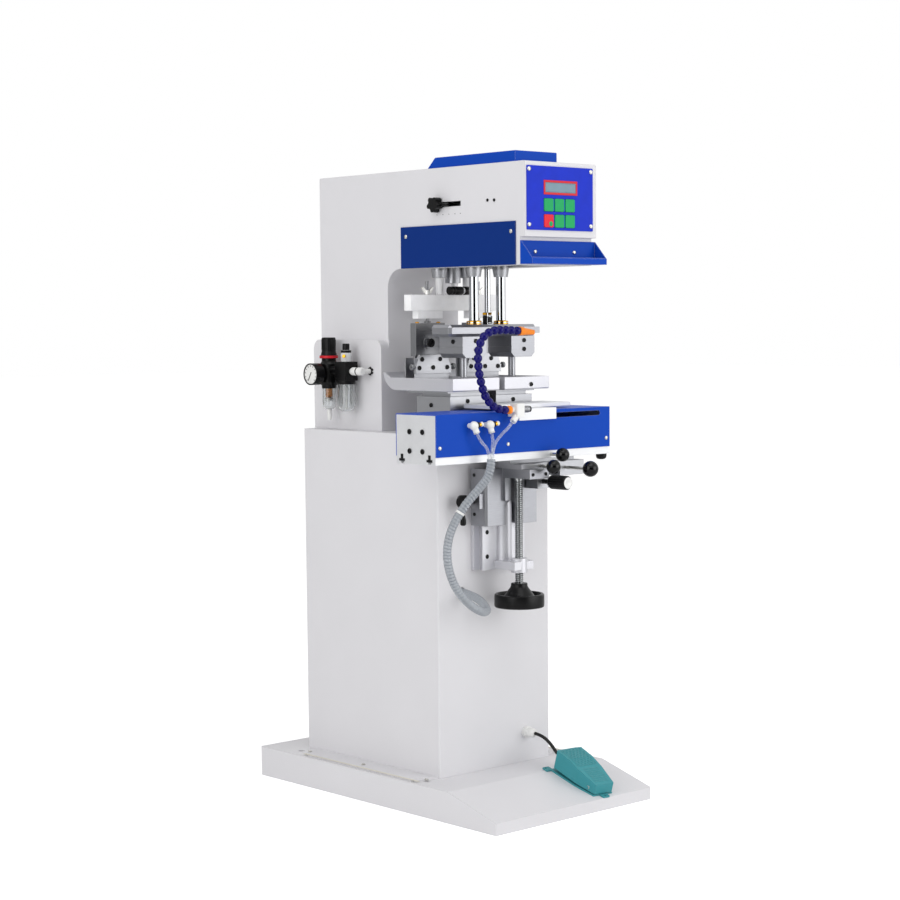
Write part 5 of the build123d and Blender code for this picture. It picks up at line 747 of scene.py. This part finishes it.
# ---- blow-off hose: ball segments on the route, orange base and flat nozzle
hosePlan = {
    "start": (-92.4, 816.0), "reach": 89, "rise": 158, "plane": -280, "from": -84,
    "shape": [(0.4, 0), (0.76, 0.15), (0.92, 0.39), (1, 0.66), (0.9, 0.88), (0.61, 0.99), (0.18, 1), (-0.3, 0.98)],
    "count": 19, "radius": 8.5, "neck": 5.6,
}
hosePoints = [spot(hosePlan["start"][0], hosePlan["plane"], hosePlan["start"][1])]
hosePoints += [spot(hosePlan["from"] - reach * hosePlan["reach"], hosePlan["plane"],
    hosePlan["start"][1] + rise * hosePlan["rise"])
               for reach, rise in hosePlan["shape"]]
hoseRoute = routeCurve("hoseRoute", hosePoints, 0)
hoseLine = routePoints(hoseRoute)
bpy.data.objects.remove(hoseRoute)
pitch = lengthOf(hoseLine) / hosePlan["count"]
halfFrames = framesAlong(hoseLine, pitch / 2)
neck, ball, step = hosePlan["neck"], hosePlan["radius"], pitch / mm
segment = turnedPiece("hoseSegment", [
    (neck * 0.85, -0.62 * step), (neck * 0.9, -0.5 * step), (ball * 0.66, -0.44 * step), (ball * 0.82, -0.34 * step),
    (ball * 0.93, -0.22 * step), (ball * 0.99, -0.08 * step), (ball, 0.02 * step), (ball * 0.97, 0.16 * step),
    (ball * 0.88, 0.29 * step), (ball * 0.74, 0.39 * step), (neck * 0.95, 0.45 * step)], 28, 60)
places = [standing(place, ahead) for place, ahead, *rest in halfFrames[1::2]][:hosePlan["count"]]
scattered("hoseSegments", segment, places, "blow_off", "hoseBlue", ("blow_hose",))
bpy.data.objects.remove(segment)
turnedAt("hoseBase", 28, standing(hoseLine[0], hoseLine[1] - hoseLine[0]), "blow_off", "orange", [(6.5, -8),
    (8.3, -7.2), (8.3, -2.2), (7.2, -1.2), (6.2, 0.6)], ("blow_hose",))
nozzle = turnedPiece("hoseNozzle", [(5.4, -3), (8.9, -3), (8.9, 7), (8.1, 9), (7.3, 12), (6.2, 24), (5.2, 37.6),
    (4.9, 38.6), (3.4, 38.6), (3.1, 30)], 28)
nozzleTurn = standing(hoseLine[-1], hoseLine[-1] - hoseLine[-2])
for vertex in nozzle.data.vertices:
    # the mouth is pressed flat towards its tip
    share = min(1.0, max(0.0, (vertex.co.z / mm - 10) / 28))
    vertex.co.x *= 1 - 0.35 * share
laid(nozzle, nozzleTurn, "blow_off", "orange", ("blow_hose",))
print("hose done")

# ---- lead screw: a core with a V thread round it, collar and journal
screwParts = {"axis": (0, -215, 0), "pitch": 4.0, "turns": 64}
selectNothing()
bpy.ops.mesh.primitive_circle_add(vertices=4, radius=1.9 * mm, fill_type="NOTHING", location=(0, 0, 0))
threadRidge = bpy.context.object
threadRidge.name = "screwThread"
threadRidge.data.transform(Matrix.Translation(spot(7.2, 0, 410)) @ Matrix.Rotation(math.radians(90), 4,
    "X") @ Matrix.Diagonal((0.95, 1, 1, 1)))
winding = threadRidge.modifiers.new("thread", "SCREW")
winding.axis = "Z"
winding.angle = math.radians(360)
winding.screw_offset = screwParts["pitch"] * mm
winding.iterations = screwParts["turns"]
winding.steps = 20
winding.render_steps = 20
winding.use_merge_vertices = True
bpy.ops.object.modifier_apply(modifier="thread")
bpy.ops.object.mode_set(mode="EDIT")
bpy.ops.mesh.select_all(action="SELECT")
bpy.ops.mesh.normals_make_consistent(inside=False)
bpy.ops.object.mode_set(mode="OBJECT")
bpy.ops.object.shade_smooth_by_angle(angle=math.radians(30))
axisPlace = Matrix.Translation(spot(*screwParts["axis"]))
laid(threadRidge, axisPlace, "lift_spindle", "screwThread", ("lead_screw",))
turnedAt("screwCore", 32, axisPlace, "lift_spindle", "screwThread", [(6.2, 408), (7.5, 409.4), (7.5, 668.6),
    (10.3, 668.6), (10.3, 673.2), (6, 673.6), (6, 687)], ("lead_screw",))

# ---- handwheel: a shallow lobed rim on a web that rises to the hub
wheelPlan = {
    "lobes": 8, "wave": 0.006,
    "rings": [
        (5.5, 402.6), (7.2, 403.2), (7.8, 408.6), (38, 411), (44, 409.2), (49.6, 409), (51.4, 410.4), (51.8, 412.6),
        (51.8, 432),
        (51.2, 434.6), (49.4, 436), (46.4, 436.2), (44.8, 435.2), (44, 432.6), (42.6, 427.4), (39, 426.6), (33, 430),
        (27.4, 437),
        (22.4, 444), (18.8, 448.6), (17.2, 452), (16.8, 457), (15.8, 458), (9.4, 458), (9.2, 456)],
}
wheel = turnedPiece("handwheelRim", wheelPlan["rings"], 64, 32)
for vertex in wheel.data.vertices:
    reach = math.hypot(vertex.co.x, vertex.co.y) / mm
    if reach > 40:
        angle = math.atan2(vertex.co.y, vertex.co.x)
        scale = 1 - wheelPlan["wave"] * (1 + math.cos(angle * wheelPlan["lobes"]))
        vertex.co.x *= scale
        vertex.co.y *= scale
laid(wheel, axisPlace, "lift_spindle", "blackPlastic", ("handwheel",))

# ---- pad unit and blade units
for side in (-1, 1):
    turnedAt("brassRing" + ("Left" if side < 0 else "Right"), 36, Matrix.Translation(spot(side * 38, -126, 0)),
        "pad_unit", "brass", [
        (14.6, 984), (15.4, 984.6), (15.4, 986.6), (14.2, 987.2), (14.2, 988.2), (15.2, 988.8), (15.2, 990.6), (14.2,
            991.4),
        (11.6, 991.4), (10.3, 992.4)])
liftAxis = standing(spot(-33.1, -45, 1054), (1, 0, 0))
turnedAt("liftKnobGrip", 28, liftAxis, "blade_lifter", "blackPlastic", [(7.4, -0.4), (8.8, 0.8), (8.8, 6),
    (8.45, 6.6), (8.8, 7.2), (8.8, 13.4), (8.45, 14), (8.8, 14.6), (8.8, 34.4), (8.4, 35.2)])
turnedAt("liftKnobCap", 28, liftAxis, "blade_lifter", "blackPlastic", [(8.4, 40.6), (8.8, 41.2), (8.8, 53.4),
    (8.0, 54.6), (4.6, 54.6), (4.2, 54.2)])
rodFork = boxPiece("rodFork", (-7.3, -133.3, 984), (7.3, -118.7, 1003), 1.4, 2, (0, -1, 0), 3.4, 0.2)
laid(rodFork, Matrix.Identity(4), "pad_unit", "blackOxide")
turnedAt("rodNut", 6, Matrix.Translation(spot(0, -126, 0)), "pad_unit", "brass", [(9.6, 1003), (10.2, 1003.5),
    (10.2, 1007.6), (9.4, 1008.4)])
for side, sideName in ((-1, "left"), (1, "right")):
    for outward in (-1, 1):
        # levelling thumb screws at both ends of each blade holder
        turnedAt("thumbScrew" + sideName, 16, standing(spot(side * 71.5 + outward * 48.6, -36, 898),
            (outward, 0, 0)), "blade_" + sideName, "satinPlate", [
            (2.4, 0), (2.4, 5), (5.6, 5), (6.4, 5.8), (6.4, 7.2), (5.9, 7.8), (6.4, 8.4), (6.4, 10.2), (5.4, 11.2),
            (2.2, 11.2), (2.0, 13.5)])
print("print head done")

# ---- control panel: display, key mark
displayFrame = boxPiece("displayFrame", (-50, -342.2, 1236), (43, -340.9, 1264), 0.35, 2, (0, -1, 0), 4.2, 0.7)
laid(displayFrame, Matrix.Identity(4), "machine", "signalRed", ("display",))
displayGlass = boxPiece("displayGlass", (-45.6, -341.75, 1240.4), (38.6, -341.2, 1259.6), 0.2, 1, (0, -1, 0), 1.6,
    0.12)
laid(displayGlass, Matrix.Identity(4), "machine", "displayGlass", ("display",))
turnedAt("keyMark", 24, standing(spot(-31.5, -342.5, 1179.5), (0, -1, 0)), "key_4", "keyGreen", [(5.0, 0),
    (5.0, 0.25), (4.6, 0.45)])

# ---- stop knob: its setting stud, and the marks under the slot
turnedAt("stopStud", 20, standing(spot(-106, -98, 1225), (0, -1, 0)), "head_stop", "blackPlastic", [(5.2, 0),
    (5.8, 0.6), (5.8, 6), (3.4, 6.4), (3.4, 13), (2.9, 13.6), (3.4, 14.2), (3.4, 27), (2.6, 28)])
stopMark = turnedPiece("stopMark", [(1.0, 0), (1.0, 0.2), (0.8, 0.3)], 12)
scattered("stopMarks", stopMark, [standing(spot(-99, y, 1206), (-1, 0, 0)) for y in (-84, -102, -120, -138, -154)],
          "machine", "blackPlastic")
bpy.data.objects.remove(stopMark)

# ---- service unit: red ring, dial, sight dome, filter, bowl guards
serviceX, filterY, oilY = -150, 208, 150
filterAxis = Matrix.Translation(spot(serviceX, filterY, 0))
oilAxis = Matrix.Translation(spot(serviceX, oilY, 0))
turnedAt("regulatorRing", 40, filterAxis, "machine", "signalRed", [(18.6, 914.8), (19.8, 915.4), (19.8, 920.4),
    (18.8, 921.0), (16, 921.0)])
gaugeFace = standing(spot(-169, 208, 882), (-1, 0, 0))
turnedAt("gaugeDial", 40, gaugeFace, "machine", "whitePlastic", [(20.4, 30.2), (20.6, 30.5), (20.6, 30.7), (4, 30.9)])
turnedAt("gaugeBezel", 44, gaugeFace, "machine", "blackPlastic", [(21.2, 26), (23.0, 26.4), (23.0, 31.6),
    (22.2, 32.0), (20.9, 31.9), (20.7, 29.6)])
tick = boxPiece("gaugeTick", (-0.5, 15.6, 30.85), (0.5, 19.4, 31.2), 0.1, 1)
scattered("gaugeTicks", tick, [gaugeFace @ Matrix.Rotation(math.radians(-135 + 27 * n), 4, "Z") for n in range(11)],
          "machine", "blackPlastic")
bpy.data.objects.remove(tick)
needle = boxPiece("gaugeNeedle", (-0.9, -5, 31.0), (0.9, 15.5, 31.6), 0.25, 1)
laid(needle, gaugeFace @ Matrix.Rotation(math.radians(150), 4, "Z"), "machine", "blackPlastic")
turnedAt("sightDome", 32, oilAxis, "machine", "frosted", [(9.6, 907.6), (11.3, 908.4), (11.3, 925), (10.4, 930.6),
    (8.2, 932.4)])
turnedAt("sightCap", 24, oilAxis, "machine", "blackPlastic", [(7.6, 931.8), (7.6, 944.6), (6.8, 946.2), (2.6, 946.2),
    (2.2, 944.8)])
turnedAt("dripScrew", 20, standing(spot(-161, 143, 920), (-1, -0.6, 0)), "machine", "brass", [(2.6, 0), (3.6, 0.4),
    (3.6, 2.6), (3.0, 3.2), (1.8, 3.2), (1.6, 2.2)])
turnedAt("filterElement", 28, filterAxis, "machine", "copperFilter", [(6.8, 856), (7.6, 855), (7.6, 834),
    (6.6, 832.6)])
turnedAt("filterBaffle", 28, filterAxis, "machine", "whitePlastic", [(3.2, 832.6), (9.6, 829), (9.6, 826.5),
    (3.0, 824)])
turnedAt("oilSiphon", 20, oilAxis, "machine", "whitePlastic", [(2.2, 866), (2.2, 812), (3.4, 811), (3.4, 807)])
for name, axis, foot, top, outer in (("filterBowl", filterAxis, 806, 858, 14), ("oilBowl", oilAxis, 803, 868, 18)):
    # a bowl of even wall: up the outside, over the mouth and down the inside
    wall = 1.6
    bowl = turnedPiece(name, [
        (outer * 0.3, foot), (outer * 0.62, foot + 0.8), (outer * 0.86, foot + 3.4), (outer * 0.97, foot + 7.5),
        (outer, foot + 12),
        (outer, top), (outer - wall, top), (outer - wall, foot + 12.4), (outer * 0.97 - wall, foot + 8.6),
        (outer * 0.86 - wall, foot + 4.8), (outer * 0.62 - wall, foot + 2.5), (outer * 0.3, foot + 1.7)], 40, 50)
    laid(bowl, axis, "machine", "clearBowl", ("service_bowls",))
    for n in range(6):
        rib = boxPiece(name + "Rib", (outer - 0.4, -0.7, foot + 16), (outer + 0.9, 0.7, top - 4), 0.3, 1)
        laid(rib, axis @ Matrix.Rotation(math.radians(60 * n + 20), 4, "Z"), "machine", "clearBowl")
for name, axis, rings in (("filterCollar", filterAxis, [(15.0, 851), (15.6, 852), (15.6, 858.4), (14.4, 859)]),
                          ("oilCollar", oilAxis, [(18.8, 860.6), (19.4, 861.6), (19.4, 867.8), (18.2, 868.4)])):
    turnedAt(name, 40, axis, "machine", "blackPlastic", rings)
turnedAt("drainTap", 24, filterAxis, "machine", "whitePlastic", [(2.6, 783.4), (3.6, 784.4), (4.4, 790), (5.0, 796),
    (5.0, 806.6)])
knobRib = boxPiece("knobRib", (14.2, -0.9, 932), (15.5, 0.9, 955), 0.3, 1)
scattered("regulatorRibs", knobRib, [filterAxis @ Matrix.Rotation(math.radians(15 * n), 4, "Z") for n in range(24)],
          "regulator_cap", "blackPlastic")
bpy.data.objects.remove(knobRib)
turnedAt("shutoffRing", 28, standing(spot(-150, 113, 888), (0, -1, 0)), "machine", "blackPlastic", [(5.4, 0),
    (8.8, 0.6), (8.8, 3.4), (5.4, 4.0)])
turnedAt("grommetNut", 6, standing(spot(-121, 103.5, 888), (-1, 0, 0)), "machine", "blackPlastic", [(8.6, 0),
    (9.2, 0.5), (9.2, 3.2), (8.2, 4.0)])
print("service unit done")

# ---- air elbows and flow valve on the bed
elbowPlan = [(-181, 0.35), (-138, 0.1)]
for number, (x, lean) in enumerate(elbowPlan, start=1):
    along = standing(spot(x, -278, 788), (1, 0, 0.12))
    down = standing(spot(x, -278, 788), (lean, -0.2, -1))
    turnedAt("elbowSleeve%d" % number, 24, along, "bed", "blackPlastic", [(6.0, 5.8), (6.6, 6.6), (6.6, 10.8),
        (5.6, 11.6)])
    turnedAt("elbowBrass%d" % number, 20, along, "bed", "brass", [(4.2, 11.4), (4.4, 11.8), (4.4, 17.0), (3.4, 17.6)])
    turnedAt("elbowGrip%d" % number, 20, along, "bed", "whitePlastic", [(3.4, 17.4), (4.6, 18.4), (5.0, 20.4),
        (4.6, 22.4), (3.0, 23.6)])
    turnedAt("elbowRelease%d" % number, 24, down, "bed", "clearTube", [(6.3, 13.4), (6.6, 14.0), (6.6, 15.6),
        (5.0, 16.4), (3.4, 16.6), (3.2, 15.4)])
valveAxis = standing(spot(-56, -283, 816), (1, 0, 0))
turnedAt("valveKnob", 20, valveAxis, "bed", "satinPlate", [(6.0, 0.2), (7.2, 0.8), (7.2, 6), (6.1, 6.6), (6.1, 9.4),
    (7.0, 10), (7.0, 17.0), (6.0, 18.0)])
turnedAt("valveTip", 16, valveAxis, "bed", "blackPlastic", [(5.2, 17.8), (6.2, 18.4), (6.2, 21.6), (5.2, 22.4)])

# ---- hand knobs: bright stems and round grips, the adjusting knob's pale disc
knobStems = {"ball_knob_bed": "bed_lock", "ball_knob_stage": "stage_lock", "ball_knob_side": "side_lock"}
ballSizes = {"ball_knob_bed": 14.1, "ball_knob_stage": 14.5, "ball_knob_side": 16.4}
for nodeName, body in knobStems.items():
    low, high = boundsOf(nodeName)
    middleX, middleZ = (low[0] + high[0]) / 2, (low[2] + high[2]) / 2
    stemStart = high[1] - 1.0
    stemLength = high[1] - low[1] - 27.5
    turnedAt(nodeName + "_sleeve", 20, standing(spot(middleX, stemStart, middleZ), (0, -1, 0)), body, "zinc",
        [(3.35, 0.6), (3.35, stemLength - 3), (4.6, stemLength - 2.4), (5.4, stemLength), (5.0, stemLength + 1.2)])
    ballPlace = standing(spot(middleX, low[1] + 14.0, middleZ), (0, -1, 0))
    arc = [math.radians(turn) for turn in range(-66, 90, 12)]
    grip = ballSizes[nodeName]
    ball = turnedPiece(nodeName + "_grip", [(grip * math.cos(turn), grip * math.sin(turn)) for turn in arc], 40)
    laid(ball, ballPlace, body, "blackGloss")
low, high = boundsOf("adjust_knob")
knobMiddle = ((low[0] + high[0]) / 2, (low[2] + high[2]) / 2)
turnedAt("adjustDisc", 32, standing(spot(knobMiddle[0], low[1] + 0.3, knobMiddle[1]), (0, -1, 0)), "stage_screw",
    "whitePlastic", [(11.6, 0), (11.9, 0.3), (11.9, 0.6), (11.2, 0.9), (4, 0.9), (3.6, 0.6)])
grip = boxPiece("adjustRib", (13.2, -0.8, 4), (14.4, 0.8, 46), 0.3, 1)
scattered("adjustRibs", grip, [standing(spot(knobMiddle[0], low[1] + 50, knobMiddle[1]), (0, -1, 0), 1,
    math.radians(20 * n)) for n in range(18)],
          "stage_screw", "blackPlastic")
bpy.data.objects.remove(grip)

# ---- rubber stop under the bed's right end
rubberStop = turnedPiece("underStop", [(10.4, 0), (11.2, 0.8), (11.2, 5.6), (10.4, 8.8), (8.2, 11.2), (4.6, 12.4),
    (2.8, 12.2)], 32)
stopLow = boundsOf("shuttle_bed")[0]
laid(rubberStop, standing(spot(205.5, -250.5, stopLow[2] + 0.2), (0, 0, -1)), "bed", "blackPlastic")

# ---- wrapped hose: white tie round the bundle
tieIndex = min(range(len(bundleFrames)), key=lambda n: (bundleFrames[n][0] - spot(-207, -262, 620)).length)
tiePlace, tieAhead, *rest = bundleFrames[tieIndex]
tie = turnedPiece("bundleTie", [(8.2, -2.4), (9.1, -2.2), (9.1, 2.2), (8.2, 2.4)], 24)
tie.data.transform(standing(tiePlace, tieAhead))
tie.data.materials.clear()
tie.data.materials.append(materials["whitePlastic"])
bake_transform(tie)
print("bed and knee details done")

# ---- shuttle legs: black plates over the T-slot openings at their ends, painted shade for the inside of the slots
for x in (-268.3, 217.3):
    for y in (-163.8, -244.7):
        for name, wide, low, high in (("slotFootShade", 8.4, 719.6, 724.6), ("slotStemShade", 3.6, 724.6, 733.4)):
            slot = boxPiece(name, (x - 0.4, y - wide, low), (x + 0.4, y + wide, high), 0.25, 1)
            laid(slot, Matrix.Identity(4), "bed", "blackOxide")

# ---- cabinet back: louvres over black strips, the strips painted shade for the vent openings
ventShade = boxPiece("rearSlitShade", (-42, 290.8, 0), (42, 291.3, 4), 0.2, 1)
scattered("rearSlitsShade", ventShade, [Matrix.Translation(spot(0, 0, z)) for z in range(560, 681, 12)], "machine",
    "blackPlastic")
bpy.data.objects.remove(ventShade)
hood = boxPiece("rearLouvre", (-45, 291, 3.2), (45, 294.5, 7.6), 1.2, 2)
scattered("rearLouvres", hood, [Matrix.Translation(spot(0, 0, z)) for z in range(560, 681, 12)], "machine",
    "whitePaint")
bpy.data.objects.remove(hood)

# ---- foot flanges: fixing bolts
scattered("flangeBolts", hexBolt, [standing(spot(side * 191, y, 67), (0, 0, 1), 3.8) for side in (-1,
    1) for y in (-139.5, 60, 240)],
          "machine", "zinc")
for side in (-1, 1):
    # cream sealing strip along each flange's outer edge
    seal = boxPiece("flangeSeal", (side * 210 - 3.5, -138, 66.8), (side * 210 + 3.5, 236, 67.3), 0.3, 1)
    laid(seal, Matrix.Identity(4), "machine", "creamSeal")

# ---- pedal: side pins
pedalFrame = {"origin": (97, -241, 62.874), "along": (-0.0671, -0.9604, -0.2704), "across": (0.9977, -0.0646,
    -0.0182), "up": (0, -0.2710, 0.9626)}


def pedalSpot(along, across, up):
    place = Vector(pedalFrame["origin"]) + Vector(pedalFrame["along"]) * along + Vector(pedalFrame["across"]) * across + Vector(pedalFrame["up"]) * up
    return place * mm


pin = turnedPiece("pedalPin", [(3.2, 0), (3.6, 0.3), (3.6, 1.0), (2.8, 1.5), (1.4, 1.5), (1.2, 1.0)], 20)
scattered("pedalPins", pin, [standing(pedalSpot(108.8, side * 25.6, 12),
    Vector(pedalFrame["across"]) * side) for side in (-1, 1)],
          "machine", "zinc")
bpy.data.objects.remove(pin)

for source in (capScrew, panScrew, flushScrew, hexBolt):
    bpy.data.objects.remove(source)
print("details done")

# ---- floor
floorPlan = {"size": 60, "colour": "#F4F4F4", "glow": 0.5}


def makeFloor(plan):
    selectNothing()
    bpy.ops.mesh.primitive_plane_add(size=plan["size"], location=(0, 0, 0))
    floor = bpy.context.object
    floor.name = "studioFloor"
    material, tree, shader = principled("studioFloor")
    shader.inputs["Base Color"].default_value = hexColour(plan["colour"])
    shader.inputs["Roughness"].default_value = 0.9
    glow = tree.nodes.new("ShaderNodeEmission")
    glow.inputs["Strength"].default_value = plan["glow"]
    both = tree.nodes.new("ShaderNodeAddShader")
    rays = tree.nodes.new("ShaderNodeLightPath").outputs
    link(shader.outputs[0], both.inputs[0])
    link(glow.outputs[0], both.inputs[1])
    mixShaders(tree, rays["Is Camera Ray"], shader, both, tree.nodes["Material Output"].inputs["Surface"])
    floor.data.materials.append(material)


makeFloor(floorPlan)

# ---- dark cards that only reflections see, for the bands in the polished metal
cardPlan = {
    "byCamera": {"azimuth": 30, "far": 5.4, "wide": 4.8, "shade": "#0A0A0B"},
    "backLeft": {"azimuth": 163, "far": 4.2, "wide": 2.4, "shade": "#0A0A0B"},
    "backRight": {"azimuth": 106, "far": 4.2, "wide": 3.0, "shade": "#0A0A0B"},
}
for name, plan in cardPlan.items():
    # azimuth is counted from the front towards the left
    around = math.radians(plan["azimuth"])
    selectNothing()
    bpy.ops.mesh.primitive_plane_add(size=1, location=(-math.sin(around) * plan["far"],
        -math.cos(around) * plan["far"], 1.5))
    card = bpy.context.object
    card.name = name
    card.rotation_euler = (math.radians(90), 0, -around)
    card.scale = (plan["wide"], 3.0, 1)
    bpy.ops.object.transform_apply(location=True, rotation=True, scale=True)
    material, tree, shader = principled(name)
    shader.inputs["Base Color"].default_value = hexColour(plan["shade"])
    shader.inputs["Roughness"].default_value = 1.0
    shader.inputs["Specular IOR Level"].default_value = 0.0
    rays = tree.nodes.new("ShaderNodeLightPath").outputs
    unseen = tree.nodes.new("ShaderNodeBsdfTransparent")
    mixShaders(tree, rays["Is Glossy Ray"], unseen, shader, tree.nodes["Material Output"].inputs["Surface"])
    card.data.materials.append(material)
